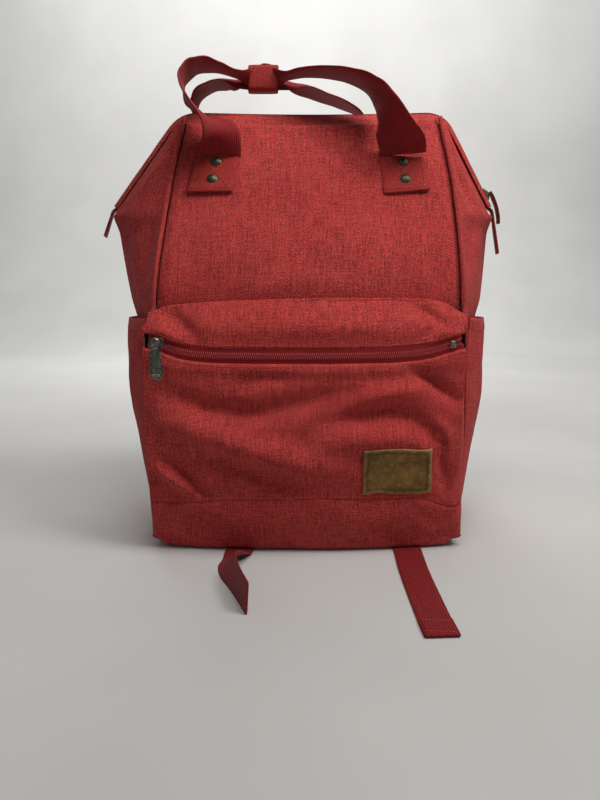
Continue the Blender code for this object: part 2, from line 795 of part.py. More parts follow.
def box_points(centre, axes, sizes):
    out = []
    for sx in (-1, 1):
        for sy in (-1, 1):
            for sz in (-1, 1):
                out.append(Vector(centre) + Vector(axes[0]) * sx * sizes[0] / 2
                           + Vector(axes[1]) * sy * sizes[1] / 2 + Vector(axes[2]) * sz * sizes[2] / 2)
    return out


def prism(name, outline, frame, low, high, material, origin, cuts=()):
    """An outline in the frame's first two directions, thick along its third, with holes cut out."""
    place, first, second, third = [Vector(v) for v in frame]
    sections = []
    for level in (low, high):
        sections.append([place + first * a + second * b + third * level for a, b in outline])
    obj = lofted(name, sections, material, origin, smooth=False)
    for k, hole in enumerate(cuts):
        tool = []
        for level in (low - 3.0, high + 3.0):
            tool.append([place + first * a + second * b + third * level for a, b in hole])
        cutter = lofted(name + "_cut_" + str(k), tool, material, origin, smooth=False)
        cutter.hide_render = True
        cutter.display_type = "WIRE"
        made = obj.modifiers.new("hole", "BOOLEAN")
        made.operation = "DIFFERENCE"
        made.solver = "EXACT"
        made.object = cutter
    return obj


def make_slider(name, frame, metal, origin):
    """Zip slider: a tapered plate with a raised bridge, seen from outside."""
    place, along_zip, across_zip, out = [Vector(v) for v in frame]
    loops = []
    shapes = (
        (0.0, ((-6, -3.2), (-2, -4.8), (4.5, -4.8), (6, -3.4), (6, 3.4), (4.5, 4.8), (-2, 4.8), (-6, 3.2))),
        (1.7, ((-5.7, -2.9), (-2, -4.5), (4.3, -4.5), (5.7, -3.2), (5.7, 3.2), (4.3, 4.5), (-2, 4.5), (-5.7, 2.9))),
        (2.1, ((-4.4, -1.7), (-2, -1.8), (3, -1.8), (4.2, -1.6), (4.2, 1.6), (3, 1.8), (-2, 1.8), (-4.4, 1.7))),
        (3.7, ((-3.4, -1.2), (-2, -1.4), (2, -1.4), (3.2, -1.2), (3.2, 1.2), (2, 1.4), (-2, 1.4), (-3.4, 1.2))),
    )
    for level, shape in shapes:
        loops.append([place + along_zip * a + across_zip * b + out * level for a, b in shape])
    return lofted(name, loops, metal, origin, smooth=False)


def arc(centre, radius, start, end, count):
    out = []
    for turn in spread(start, end, count):
        angle = math.radians(turn)
        out.append((centre[0] + radius * math.cos(angle), centre[1] + radius * math.sin(angle)))
    return out


def paddle_outline(length):
    outline = [(-3.3, 0.6), (-3.6, -1.0), (-4.4, -4.0)]
    outline += arc((0, -length + 5.4), 5.4, 180, 360, 9)
    outline += [(4.4, -4.0), (3.6, -1.0), (3.3, 0.6)]
    return outline


# ---------------------------------------------------------------- carrying straps

LOCK_HEIGHT = 94.0
LOCK_X = 98.0


def make_shoulder_strap(side, name, padding):
    stations = []
    points = ((36, 86.2, 284), (40, 92, 270), (50, 99, 245), (66, 104, 210), (82, 106, 170), (93, 106, 135), (98, 105.5, 107))
    widths = (52, 54, 58, 60, 58, 50, 34)
    extras = (-4.0, 0, 0, 0, 0, 0, -2)
    for (x, y, z), width, extra in zip(points, widths, extras):
        stations.append(((side * x, y, z), (1, 0, 0), width, extra))
    return ribbon(name, stations, 7.0, padding)


def make_ladder_lock(side, name, plastic):
    outline = [(-17, -7), (-15, -9), (15, -9), (17, -7), (17, 8), (15, 10), (-15, 10), (-17, 8)]
    frame = ((side * LOCK_X, 104.0, LOCK_HEIGHT), (1, 0, 0), (0, 0, 1), (0, 1, 0))
    lower = ((-13.6, 2.2), (13.6, 2.2), (13.6, 6.6), (-13.6, 6.6))
    upper = ((-13.6, -6.4), (13.6, -6.4), (13.6, -1.8), (-13.6, -1.8))
    return prism(name, outline, frame, -1.6, 1.6, plastic, frame[0], (lower, upper))


def make_strap_webbing(side, name, web):
    """Adjuster webbing: sewn at the lower corner, up round the lock, and its tail under the base."""
    lock = side * LOCK_X
    high = LOCK_HEIGHT
    path = [((side * 120, 84.4, 14), (0.97, 0, 0.25 * -side)), ((side * 118, 85.5, 24), (0.98, 0, 0.2 * -side))]
    path += [((side * 108, 97, 60), (1, 0, 0.1 * -side)), ((lock, 100.9, high - 8), (1, 0, 0))]
    for turn in spread(180, 0, 7):
        angle = math.radians(turn)
        path.append(((lock, 104.0 + 3.2 * math.cos(angle), high + 1.2 + 3.0 * math.sin(angle)), (1, 0, 0)))
    tail = TAIL_LEFT_X if side < 0 else TAIL_RIGHT_X
    path += [((lock, 107.4, high - 10), (1, 0, 0)), ((lock * 0.99, 108.0, 60), (1, 0, 0))]
    path += [((lock * 0.9 + tail * 0.1, 106, 25), (1, 0, 0)), ((lock * 0.75 + tail * 0.25, 102, 8), (1, 0, 0))]
    path += [((lock * 0.6 + tail * 0.4, 97, 2.4), (1, 0, 0)), ((lock * 0.2 + tail * 0.8, 92, 0.75), (1, 0, 0))]
    path += [((tail, 84, 0.72), (1, 0, 0)), ((tail, 40, 0.72), (1, 0, 0)), ((tail, 0, 0.72), (1, 0, 0))]
    path += [((tail, -50, 0.72), (1, 0, 0)), ((tail, -92, 0.72), (1, 0, 0))]
    if side > 0:
        for x, y in ((88.6, -130), (88.8, -170), (89.5, -210), (90.5, -234)):
            path.append(((x, y, 0.72), (1, 0.06, 0)))
    else:
        twist = ((-62, -108, 2.2, 12), (-64.5, -124, 6.5, 32), (-64, -142, 10.5, 58), (-59, -160, 12.0, 76))
        twist += ((-53, -178, 12.45, 86), (-44, -202, 12.5, 90))
        for x, y, z, turn in twist:
            angle = math.radians(turn)
            path.append(((x, y, z), (math.cos(angle), 0.2 * math.sin(angle), math.sin(angle))))
    stations = [(place, across, STRAP_WEB) for place, across in path]
    return ribbon(name, stations, STRAP_WEB_THICK, web)


# ---------------------------------------------------------------- assembly


def main():
    clear_scene()
    cloth = paint("red_heather_canvas", (0.36, 0.045, 0.04), 0.9)
    dark_cloth = paint("shaded_canvas", (0.25, 0.03, 0.03), 0.9)
    lining_cloth = paint("beige_lining", (0.42, 0.33, 0.25), 0.85)
    mesh_cloth = paint("spacer_mesh", (0.2, 0.025, 0.028), 0.95)
    web = paint("red_ribbed_webbing", (0.33, 0.015, 0.02), 0.75)
    tape = paint("crimson_zip_tape", (0.3, 0.02, 0.03), 0.8)
    teeth = paint("red_nylon_coil", (0.35, 0.04, 0.05), 0.45)
    leather = paint("tan_leather", (0.3, 0.13, 0.05), 0.65)
    gunmetal = paint("antique_gunmetal", (0.09, 0.1, 0.08), 0.38, 0.9)
    steel = paint("frame_steel", (0.45, 0.45, 0.46), 0.35, 1.0)
    plastic = paint("red_acetal", (0.22, 0.015, 0.02), 0.4)
    board = paint("stiffener_board", (0.06, 0.06, 0.06), 0.8)

    make_base_panel(cloth)
    make_base_board(board)
    make_front_wall(dark_cloth)
    make_front_panel(cloth)
    make_pocket_panel(cloth)
    make_pocket_flap(cloth)
    make_pocket_zip(tape, teeth)
    make_label(leather)
    for side, word in ((-1, "left"), (1, "right")):
        make_side_panel(side, "side_panel_" + word, cloth)
        make_side_pocket(side, "side_pocket_" + word, cloth)
        make_gusset(side, -1, "gusset_front_" + word, cloth)
        make_gusset(side, 1, "gusset_rear_" + word, cloth)
        make_piping(side, "piping_" + word, cloth)
        make_zip_tab(side, "zip_tab_" + word, web)
        make_shoulder_strap(side, "shoulder_strap_" + word, cloth)
        make_ladder_lock(side, "ladder_lock_" + word, plastic)
        make_strap_webbing(side, "strap_webbing_" + word, web)
    make_back_panel(cloth)
    make_back_pad(mesh_cloth)
    make_rear_panel(cloth)
    make_lining(lining_cloth)
    make_laptop_sleeve(lining_cloth)

    hinge = (0, 0, HINGE_HEIGHT)
    front_jaw = axis_empty("front_jaw_axis", hinge)
    rear_jaw = axis_empty("rear_jaw_axis", hinge)
    front_pivot = (0, *FRONT_HANDLE_PIVOT)
    rear_pivot = (0, *REAR_HANDLE_PIVOT)
    front_grip = axis_empty("front_handle_axis", front_pivot, front_jaw)
    rear_grip = axis_empty("rear_handle_axis", rear_pivot, rear_jaw)

    for piece in make_mouth(-1, "front", cloth, tape, steel):
        ride(piece, front_jaw)
    for piece in make_mouth(1, "rear", cloth, tape, steel):
        ride(piece, rear_jaw)
    for face, jaw, word in ((-1, front_jaw, "front"), (1, rear_jaw, "rear")):
        for side, hand in ((-1, "left"), (1, "right")):
            label = word + "_" + hand
            ride(make_patch(face, side, "handle_patch_" + label, web), jaw)
            for rivet in make_rivets(face, side, "rivet_" + label, gunmetal):
                ride(rivet, jaw)
    ride(make_handle("front_handle", FRONT_HANDLE, web, front_pivot), front_grip)
    ride(make_handle("rear_handle", REAR_HANDLE, web, rear_pivot), rear_grip)
    ride(make_wrap(web), front_grip)
    ride(make_domed("wrap_snap", (-37, -4.1, 429.2), (0.0, 0, 1), 5.2, 1.6, gunmetal), front_grip)

    # Pocket zip: the slider travels along +X, and its pull swings about its bridge.
    rest_x = front_corner(-1, ZIP_HEIGHT) + 12.0
    front = ZIP_FRONT + 1.0 - 0.6 - 0.35
    slider_place = (rest_x, front, ZIP_HEIGHT)
    slider_axis = axis_empty("pocket_slider_axis", slider_place)
    frame = (slider_place, (1, 0, 0), (0, 0, 1), (0, -1, 0))
    ride(make_slider("pocket_zip_slider", frame, gunmetal, slider_place), slider_axis)
    pull_place = (rest_x, front - 5.0, ZIP_HEIGHT - 0.5)
    pull_axis = axis_empty("pocket_pull_axis", pull_place, slider_axis)
    frame = (pull_place, (1, 0, 0), (0, 0, 1), (0, -1, 0))
    pull = prism("pocket_zip_pull", paddle_outline(29.0), frame, -0.8, 0.8, gunmetal, pull_place)
    ride(pull, pull_axis)

    # Main zip: the slider climbs the right slope of the mouth from the hinge corner.
    foot = Vector((RIGHT_HINGE_X, 0, 306))
    climb = (Vector((RIGHT_TOP_X, 0, RIDGE_TOP)) - foot).normalized()
    out = Vector((climb.z, 0, -climb.x))
    slider_place = foot + climb * 12.0 + out * 1.9
    slider_axis = axis_empty("main_slider_axis", slider_place, front_jaw)
    frame = (slider_place, climb, (0, 1, 0), out)
    ride(make_slider("main_zip_slider", frame, gunmetal, slider_place), slider_axis)
    pull_place = slider_place + out * 5.2
    pull_axis = axis_empty("main_pull_axis", pull_place, slider_axis)
    stations = [(pull_place + climb * 0.5, (0, 1, 0), 7), (pull_place - climb * 3.0, (0, 1, 0), 8)]
    stations += [(pull_place - climb * 14.0, (0, 1, 0), 9), (pull_place - climb * 28.0, (0, 1, 0), 9)]
    ride(ribbon("main_zip_pull", stations, 1.6, web, pull_place), pull_axis)


main()
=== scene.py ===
import math

import bpy
import numpy as np
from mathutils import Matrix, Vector, noise


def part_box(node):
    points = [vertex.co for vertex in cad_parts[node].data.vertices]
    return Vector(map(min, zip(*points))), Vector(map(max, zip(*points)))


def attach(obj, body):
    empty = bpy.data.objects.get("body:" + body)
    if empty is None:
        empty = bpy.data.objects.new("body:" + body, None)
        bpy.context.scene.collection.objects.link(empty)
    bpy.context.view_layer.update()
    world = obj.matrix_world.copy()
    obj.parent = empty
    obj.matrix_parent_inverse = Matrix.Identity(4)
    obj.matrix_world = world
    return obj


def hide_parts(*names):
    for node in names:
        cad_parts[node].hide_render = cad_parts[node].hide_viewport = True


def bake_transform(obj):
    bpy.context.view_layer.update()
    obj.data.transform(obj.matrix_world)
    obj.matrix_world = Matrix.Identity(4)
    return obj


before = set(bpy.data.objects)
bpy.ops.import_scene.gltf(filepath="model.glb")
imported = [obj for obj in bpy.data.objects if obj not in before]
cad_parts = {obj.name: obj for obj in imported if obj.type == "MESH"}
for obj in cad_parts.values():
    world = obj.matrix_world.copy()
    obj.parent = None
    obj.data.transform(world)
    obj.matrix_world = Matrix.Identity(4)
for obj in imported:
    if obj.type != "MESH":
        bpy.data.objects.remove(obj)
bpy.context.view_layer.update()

mm = 0.001


# ---- small helpers -------------------------------------------------------

def smoothLine(stations, count=600):
    # a smooth monotone curve through (place, value) stations, in millimetres
    xs = [float(s[0]) for s in stations]
    ys = [float(s[1]) for s in stations]
    slopes = [(ys[i + 1] - ys[i]) / (xs[i + 1] - xs[i]) for i in range(len(xs) - 1)]
    lean = [slopes[0]]
    for a, b in zip(slopes, slopes[1:]):
        lean.append(0.0 if a * b <= 0 else 2 * a * b / (a + b))
    lean.append(slopes[-1])
    dense = np.linspace(xs[0], xs[-1], count)
    out = np.zeros(count)
    for k, x in enumerate(dense):
        i = min(len(xs) - 2, max(0, int(np.searchsorted(xs, x, side="right")) - 1))
        span = xs[i + 1] - xs[i]
        t = (x - xs[i]) / span
        out[k] = ((2 * t**3 - 3 * t**2 + 1) * ys[i] + (3 * t**2 - 2 * t**3) * ys[i + 1]
                  + ((t**3 - 2 * t**2 + t) * lean[i] + (t**3 - t**2) * lean[i + 1]) * span)

    def read(x):
        return np.interp(x, dense, out)
    return read


def smoothStep(x, low, high):
    t = np.clip((np.asarray(x, float) - low) / (high - low), 0, 1)
    return t * t * (3 - 2 * t)


def ripple(points, size, seed):
    # soft unevenness from -1 to 1, one value for each point (millimetres)
    flat = np.asarray(points, float).reshape(-1, 3) / size
    shift = Vector((seed * 7.3, seed * 3.1, seed * 1.7))
    values = [noise.noise(Vector(p) + shift) for p in flat]
    return np.array(values).reshape(np.asarray(points).shape[:-1])


def foldRelief(across, up, folds):
    # raised and sunk folds, each along a line of (across, up) points with a width and a height
    total = np.zeros(np.broadcast(across, up).shape)
    for fold in folds:
        line = np.array(fold["line"], float)
        best = np.full(total.shape, 1e9)
        share = np.zeros(total.shape)
        lengths = np.linalg.norm(line[1:] - line[:-1], axis=1)
        whole = lengths.sum()
        done = 0.0
        for a, b, length in zip(line[:-1], line[1:], lengths):
            d = (b - a) / length
            t = np.clip(((across - a[0]) * d[0] + (up - a[1]) * d[1]), 0, length)
            gap = np.hypot(across - a[0] - d[0] * t, up - a[1] - d[1] * t)
            nearer = gap < best
            share = np.where(nearer, (done + t) / whole, share)
            best = np.where(nearer, gap, best)
            done += length
        ends = np.sin(np.pi * np.clip(share * 0.86 + 0.07, 0, 1)) ** 0.8
        total += fold["height"] * ends * np.exp(-((best / fold["width"]) ** 2))
    return total


def gridNormals(grid, centre):
    normals = np.cross(np.gradient(grid, axis=0), np.gradient(grid, axis=1))
    normals /= np.maximum(np.linalg.norm(normals, axis=2, keepdims=True), 1e-12)
    facing = np.sum(normals * (grid - np.array(centre, float)))
    return normals if facing > 0 else -normals


def nameShift(name):
    code = sum((i + 1) * ord(c) for i, c in enumerate(name))
    return (code % 97) * 0.0131, (code % 61) * 0.0177


def meshPiece(name, points, faces, materials, uvs=None, faceSlots=None, smooth=True):
    mesh = bpy.data.meshes.new(name)
    mesh.from_pydata([tuple(p) for p in points], [], faces)
    for material in materials:
        mesh.materials.append(material)
    if uvs is not None:
        layer = mesh.uv_layers.new(name="UVMap")
        corner = np.zeros(len(mesh.loops), np.int32)
        mesh.loops.foreach_get("vertex_index", corner)
        layer.data.foreach_set("uv", np.asarray(uvs, np.float32)[corner].ravel())
    if faceSlots is not None:
        mesh.polygons.foreach_set("material_index", np.asarray(faceSlots, np.int32))
    flags = smooth if isinstance(smooth, (list, np.ndarray)) else [smooth] * len(mesh.polygons)
    mesh.polygons.foreach_set("use_smooth", np.asarray(flags, bool))
    mesh.update()
    obj = bpy.data.objects.new(name, mesh)
    bpy.context.scene.collection.objects.link(obj)
    return obj


def ringQuad(ring, nextRing, j, size):
    # one quad between two rings of points, each given by its first index
    n = (j + 1) % size
    return ring + j, nextRing + j, nextRing + n, ring + n


def clothSheet(name, grid, thick, outside, inside=None, centre=(0, 0, 150), turn=False):
    # a closed sheet of cloth: the grid (millimetres) is its outer face and it grows inwards
    grid = np.asarray(grid, float)
    rows, columns = grid.shape[:2]
    normals = gridNormals(grid, centre)
    inner = grid - normals * thick
    u = np.zeros((rows, columns))
    v = np.zeros((rows, columns))
    u[:, 1:] = np.cumsum(np.linalg.norm(grid[:, 1:] - grid[:, :-1], axis=2), axis=1)
    u -= u[:, columns // 2][:, None]
    v[1:] = np.cumsum(np.linalg.norm(grid[1:] - grid[:-1], axis=2), axis=0)
    shift = nameShift(name)
    if turn:
        u, v = v, u
    uv = np.stack([u * mm + shift[0], v * mm + shift[1]], axis=2).reshape(-1, 2)
    count = rows * columns
    index = np.arange(count).reshape(rows, columns)
    a, b = index[:-1, :-1].ravel(), index[:-1, 1:].ravel()
    c, d = index[1:, 1:].ravel(), index[1:, :-1].ravel()
    middle = np.cross(grid[rows // 2 + 1, columns // 2] - grid[rows // 2, columns // 2],
                      grid[rows // 2, columns // 2 + 1] - grid[rows // 2, columns // 2])
    outward = np.dot(middle, normals[rows // 2, columns // 2]) < 0
    outer = np.stack([a, b, c, d] if outward else [a, d, c, b], axis=1)
    under = outer[:, ::-1] + count
    rim = list(index[0]) + list(index[1:, -1]) + list(index[-1, :-1][::-1]) + list(index[1:-1, 0][::-1])
    edge = []
    for p, q in zip(rim, rim[1:] + rim[:1]):
        edge.append((p, p + count, q + count, q) if outward else (q, q + count, p + count, p))
    faces = [tuple(int(i) for i in f) for f in outer] + [tuple(int(i) for i in f) for f in under]
    faces += [tuple(int(i) for i in f) for f in edge]
    slots = [0] * len(outer) + [1 if inside else 0] * len(under) + [0] * len(edge)
    flags = [True] * (len(outer) + len(under)) + [False] * len(edge)
    points = np.concatenate([grid.reshape(-1, 3), inner.reshape(-1, 3)]) * mm
    materials = [outside] + ([inside] if inside else [])
    return meshPiece(name, points, faces, materials, np.concatenate([uv, uv]), slots, flags)


def splinePoints(rows, count):
    # Catmull-Rom through rows of numbers, evenly by length of the first three
    rows = np.array(rows, float)
    lengths = np.linalg.norm(rows[1:, :3] - rows[:-1, :3], axis=1)
    marks = np.concatenate([[0], np.cumsum(lengths)])
    padded = np.vstack([2 * rows[0] - rows[1], rows, 2 * rows[-1] - rows[-2]])
    out = []
    for s in np.linspace(0, marks[-1], count):
        i = min(len(rows) - 2, max(0, int(np.searchsorted(marks, s, side="right")) - 1))
        t = (s - marks[i]) / lengths[i]
        p0, p1, p2, p3 = padded[i:i + 4]
        out.append(0.5 * (2 * p1 + (p2 - p0) * t + (2 * p0 - 5 * p1 + 4 * p2 - p3) * t**2
                          + (3 * p1 - p0 - 3 * p2 + p3) * t**3))
    return np.array(out)


def webStrap(name, stations, thick, material, count=60, across=9, plain=False):
    # webbing through (centre, across direction, width, cup, extra thickness) stations, in millimetres
    rows = []
    for station in stations:
        centre, side, width = station[:3]
        cup = station[3] if len(station) > 3 else 0.0
        extra = station[4] if len(station) > 4 else 0.0
        rows.append([*centre, *side, width, cup, extra])
    rows = np.array(rows) if plain else splinePoints(rows, count)
    centre = rows[:, :3]
    tangent = np.gradient(centre, axis=0)
    tangent /= np.linalg.norm(tangent, axis=1, keepdims=True)
    side = rows[:, 3:6] - tangent * np.sum(rows[:, 3:6] * tangent, axis=1, keepdims=True)
    side /= np.linalg.norm(side, axis=1, keepdims=True)
    normal = np.cross(tangent, side)
    length = np.concatenate([[0], np.cumsum(np.linalg.norm(centre[1:] - centre[:-1], axis=1))])
    s = np.linspace(-1, 1, across)
    points, uv = [], []
    shift = nameShift(name)
    for k in range(len(rows)):
        width, cup, extra = rows[k, 6:9]
        rise = (thick + extra) / 2
        loop, marks = [], []
        for face in (1, -1):
            for j in (s if face > 0 else s[::-1]):
                edge = 1 - 0.45 * abs(j) ** 10
                place = centre[k] + side[k] * j * width / 2
                place = place + normal[k] * (cup * (j * j - 0.4) + face * rise * edge)
                loop.append(place)
                marks.append((j * width / 2 * mm, length[k] * mm + shift[1]))
        points += loop
        uv += marks
    size = 2 * across
    faces = []
    for i in range(len(rows) - 1):
        for j in range(size):
            n = (j + 1) % size
            faces.append((i * size + j, (i + 1) * size + j, (i + 1) * size + n, i * size + n))
    body = len(faces)
    for j in range(across - 1):          # end caps as strips of quads
        a, b = j, j + 1
        c, d = size - 2 - j, size - 1 - j
        faces.append((a, b, c, d))
        o = (len(rows) - 1) * size
        faces.append((o + d, o + c, o + b, o + a))
    flags = [True] * body + [False] * (len(faces) - body)
    return meshPiece(name, np.array(points) * mm, faces, [material], uv, None, flags)


def cordTube(name, path, radius, material, sides=12):
    path = np.array(path, float)
    tangent = np.gradient(path, axis=0)
    tangent /= np.linalg.norm(tangent, axis=1, keepdims=True)
    guide = np.array((0.0, 0.0, 1.0)) if abs(tangent[0][2]) < 0.9 else np.array((0.0, -1.0, 0.0))
    length = np.concatenate([[0], np.cumsum(np.linalg.norm(path[1:] - path[:-1], axis=1))])
    points, uv = [], []
    for k, (place, along) in enumerate(zip(path, tangent)):
        first = guide - along * guide.dot(along)
        first /= np.linalg.norm(first)
        guide = first
        second = np.cross(along, first)
        for j in range(sides):
            angle = 2 * math.pi * j / sides
            points.append(place + radius * (first * math.cos(angle) + second * math.sin(angle)))
            uv.append((j / sides * 2 * math.pi * radius * mm, length[k] * mm))
    faces = []
    for i in range(len(path) - 1):
        for j in range(sides):
            n = (j + 1) % sides
            faces.append((i * sides + j, i * sides + n, (i + 1) * sides + n, (i + 1) * sides + j))
    faces.append(tuple(range(sides - 1, -1, -1)))
    faces.append(tuple(range((len(path) - 1) * sides, len(path) * sides)))
    return meshPiece(name, np.array(points) * mm, faces, [material], uv)


def stitchRow(name, path, outs, material, pitch=3.0, long=2.2, radius=0.32, sink=0.1):
    # thread: one small bead of each stitch along a path lying on the cloth
    path = np.array(path, float)
    outs = np.array(outs, float)
    marks = np.concatenate([[0], np.cumsum(np.linalg.norm(path[1:] - path[:-1], axis=1))])
    points, faces = [], []
    place = pitch / 2
    while place < marks[-1]:
        ends = []
        for s in (place - long / 2, place, place + long / 2):
            ends.append(np.array([np.interp(s, marks, path[:, i]) for i in range(3)]))
        out = np.array([np.interp(place, marks, outs[:, i]) for i in range(3)])
        out /= np.linalg.norm(out)
        along = ends[2] - ends[0]
        along /= max(np.linalg.norm(along), 1e-9)
        side = np.cross(out, along)
        base = len(points)
        for t, share, lift in ((-1.0, 0.25, -0.5), (-0.6, 0.9, 0.2), (0.6, 0.9, 0.2), (1.0, 0.25, -0.5)):
            mid = ends[1] + along * t * long / 2 + out * (radius * (0.5 + lift) - sink)
            for j in range(6):
                angle = math.pi * 2 * j / 6
                points.append(mid + radius * share * (side * math.cos(angle) + out * math.sin(angle)))
        for i in range(3):
            for j in range(6):
                a, d, c, b = ringQuad(base + i * 6, base + (i + 1) * 6, j, 6)
                faces.append((a, b, c, d))
        faces.append(tuple(base + j for j in range(5, -1, -1)))
        faces.append(tuple(base + 18 + j for j in range(6)))
        place += pitch
    return meshPiece(name, np.array(points) * mm, faces, [material])


def blendFront(obj):
    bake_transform(obj)


def blendRear(obj):
    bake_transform(obj)


# ---- camera and light ----------------------------------------------------

view = {"place": (-0.006, -0.615, 0.236), "tilt": 79.3, "lens": 28.0}
camera = bpy.data.objects.new("camera", bpy.data.cameras.new("camera"))
bpy.context.scene.collection.objects.link(camera)
camera.location = view["place"]
camera.rotation_euler = (math.radians(view["tilt"]), 0, 0)
camera.data.lens = view["lens"]
camera.data.sensor_width = 36.0
camera.data.clip_start = 0.02
bpy.context.scene.camera = camera
bpy.context.scene.view_settings.view_transform = "Standard"
bpy.context.scene.view_settings.look = "None"


def areaLight(name, place, target, size, power, colour):
    lamp = bpy.data.lights.new(name, "AREA")
    lamp.shape = "RECTANGLE"
    lamp.size, lamp.size_y = size
    lamp.energy = power
    lamp.color = colour
    obj = bpy.data.objects.new(name, lamp)
    bpy.context.scene.collection.objects.link(obj)
    obj.location = place
    obj.rotation_euler = (Vector(target) - Vector(place)).to_track_quat("-Z", "Y").to_euler()
    return obj


lights = {
    "key": ((0.85, -0.5, 1.3), (0, -0.05, 0.28), (0.45, 0.45), 9.4, (1.0, 0.98, 0.95)),
    "fill": ((-1.2, -1.1, 0.9), (0, 0, 0.25), (1.2, 1.2), 0.4, (0.93, 0.96, 1.0)),
    "top": ((0.1, -0.3, 0.92), (0, -0.05, 0.2), (0.4, 0.26), 3.1, (1.0, 0.99, 0.97)),
    "back": ((-0.5, 1.4, 1.0), (0, 0, 0.25), (1.0, 1.0), 4.5, (1.0, 1.0, 1.0)),
    "wall": ((0, 1.0, 1.75), (0, 2.1, 0.75), (2.4, 0.8), 40.0, (1.0, 1.0, 1.0)),
}
for label, (place, target, size, power, colour) in lights.items():
    areaLight(label + "Light", place, target, size, power, colour)
world = bpy.data.worlds.new("studio")
bpy.context.scene.world = world
world.use_nodes = True
world.node_tree.nodes["Background"].inputs["Color"].default_value = (0.92, 0.94, 0.97, 1)
world.node_tree.nodes["Background"].inputs["Strength"].default_value = 0.15
print("camera and light ready")


# ---- shader groups -------------------------------------------------------

def startGroup(name, inputs, outputs):
    group = bpy.data.node_groups.new(name, "ShaderNodeTree")
    for label, kind, value in inputs:
        socket = group.interface.new_socket(label, in_out="INPUT", socket_type=kind)
        if value is not None:
            socket.default_value = value
    for label, kind in outputs:
        group.interface.new_socket(label, in_out="OUTPUT", socket_type=kind)
    nodes = group.nodes
    return group, nodes.new("NodeGroupInput"), nodes.new("NodeGroupOutput")


def wire(tree, value, socket):
    if hasattr(value, "is_output"):
        tree.links.new(value, socket)
    else:
        socket.default_value = value


def mathNode(tree, kind, a, b=0.0, c=None, clamp=False):
    node = tree.nodes.new("ShaderNodeMath")
    node.operation = kind
    node.use_clamp = clamp
    wire(tree, a, node.inputs[0])
    wire(tree, b, node.inputs[1])
    if c is not None:
        wire(tree, c, node.inputs[2])
    return node.outputs[0]


def mixColour(tree, share, a, b, kind="MIX"):
    node = tree.nodes.new("ShaderNodeMix")
    node.data_type = "RGBA"
    node.blend_type = kind
    wire(tree, share, node.inputs[0])
    wire(tree, a, node.inputs[6])
    wire(tree, b, node.inputs[7])
    return node.outputs[2]


def stretched(tree, vector, x, y, z=0.0):
    # the vector with each axis multiplied
    node = tree.nodes.new("ShaderNodeVectorMath")
    node.operation = "MULTIPLY"
    tree.links.new(vector, node.inputs[0])
    node.inputs[1].default_value = (x, y, z)
    return node.outputs[0]


def noiseValue(tree, vector, scale, detail=2.0, rough=0.5):
    node = tree.nodes.new("ShaderNodeTexNoise")
    tree.links.new(vector, node.inputs["Vector"])
    node.inputs["Scale"].default_value = scale
    node.inputs["Detail"].default_value = detail
    node.inputs["Roughness"].default_value = rough
    return node.outputs["Fac"]


def makeHeather():
    # two-tone slubby twill: cloth co-ordinates in metres in, colour, height and a fuzz mask out
    group, start, end = startGroup(
        "heatherTwill",
        [("Cloth", "NodeSocketVector", None), ("Light", "NodeSocketColor", (0.6, 0.1, 0.08, 1)),
         ("Dark", "NodeSocketColor", (0.25, 0.02, 0.02, 1)), ("Contrast", "NodeSocketFloat", 1.0)],
        [("Colour", "NodeSocketColor"), ("Height", "NodeSocketFloat"), ("Fuzz", "NodeSocketFloat")])
    cloth = start.outputs["Cloth"]
    warp = noiseValue(group, stretched(group, cloth, 820, 70), 1.0, 3.0, 0.66)
    weft = noiseValue(group, stretched(group, cloth, 70, 820), 1.0, 3.0, 0.66)
    grain = noiseValue(group, stretched(group, cloth, 640, 640), 1.0, 2.0, 0.7)
    slub = noiseValue(group, stretched(group, cloth, 700, 16), 1.0, 2.0, 0.5)
    mottle = noiseValue(group, stretched(group, cloth, 26, 26), 1.0, 2.0, 0.5)
    split = group.nodes.new("ShaderNodeSeparateXYZ")
    group.links.new(cloth, split.inputs[0])
    diagonal = mathNode(group, "ADD", split.outputs[0], split.outputs[1])
    wander = noiseValue(group, stretched(group, cloth, 160, 160), 1.0, 1.0, 0.5)
    counter = mathNode(group, "SUBTRACT", split.outputs[0], split.outputs[1])
    twill = mathNode(group, "SINE", mathNode(group, "MULTIPLY_ADD", diagonal, 2 * math.pi / 0.0021,
                                             mathNode(group, "MULTIPLY", wander, 5.0)))
    dots = mathNode(group, "SINE", mathNode(group, "MULTIPLY", counter, 2 * math.pi / 0.0026))
    twill = mathNode(group, "MULTIPLY_ADD", dots, 0.6, twill)
    tone = mathNode(group, "MULTIPLY_ADD", mathNode(group, "SUBTRACT", warp, 0.5), 1.5, 0.5)
    tone = mathNode(group, "MULTIPLY_ADD", mathNode(group, "SUBTRACT", weft, 0.5), 1.3, tone)
    tone = mathNode(group, "MULTIPLY_ADD", mathNode(group, "SUBTRACT", grain, 0.5), 2.2, tone)
    tone = mathNode(group, "MULTIPLY_ADD", twill, 0.26, tone)
    tone = mathNode(group, "MULTIPLY_ADD", mathNode(group, "SUBTRACT", slub, 0.5), 0.55, tone)
    tone = mathNode(group, "MULTIPLY_ADD", mathNode(group, "SUBTRACT", mottle, 0.5), 0.3, tone)
    centred = mathNode(group, "SUBTRACT", tone, 0.5)
    share = mathNode(group, "MULTIPLY_ADD", centred, start.outputs["Contrast"], 0.5, clamp=True)
    colour = mixColour(group, share, start.outputs["Dark"], start.outputs["Light"])
    height = mathNode(group, "MULTIPLY_ADD", twill, 0.3, mathNode(group, "ADD", warp, weft))
    height = mathNode(group, "MULTIPLY_ADD", grain, 0.7, height)
    group.links.new(colour, end.inputs["Colour"])
    group.links.new(height, end.inputs["Height"])
    group.links.new(mathNode(group, "MULTIPLY", grain, mottle), end.inputs["Fuzz"])
    return group


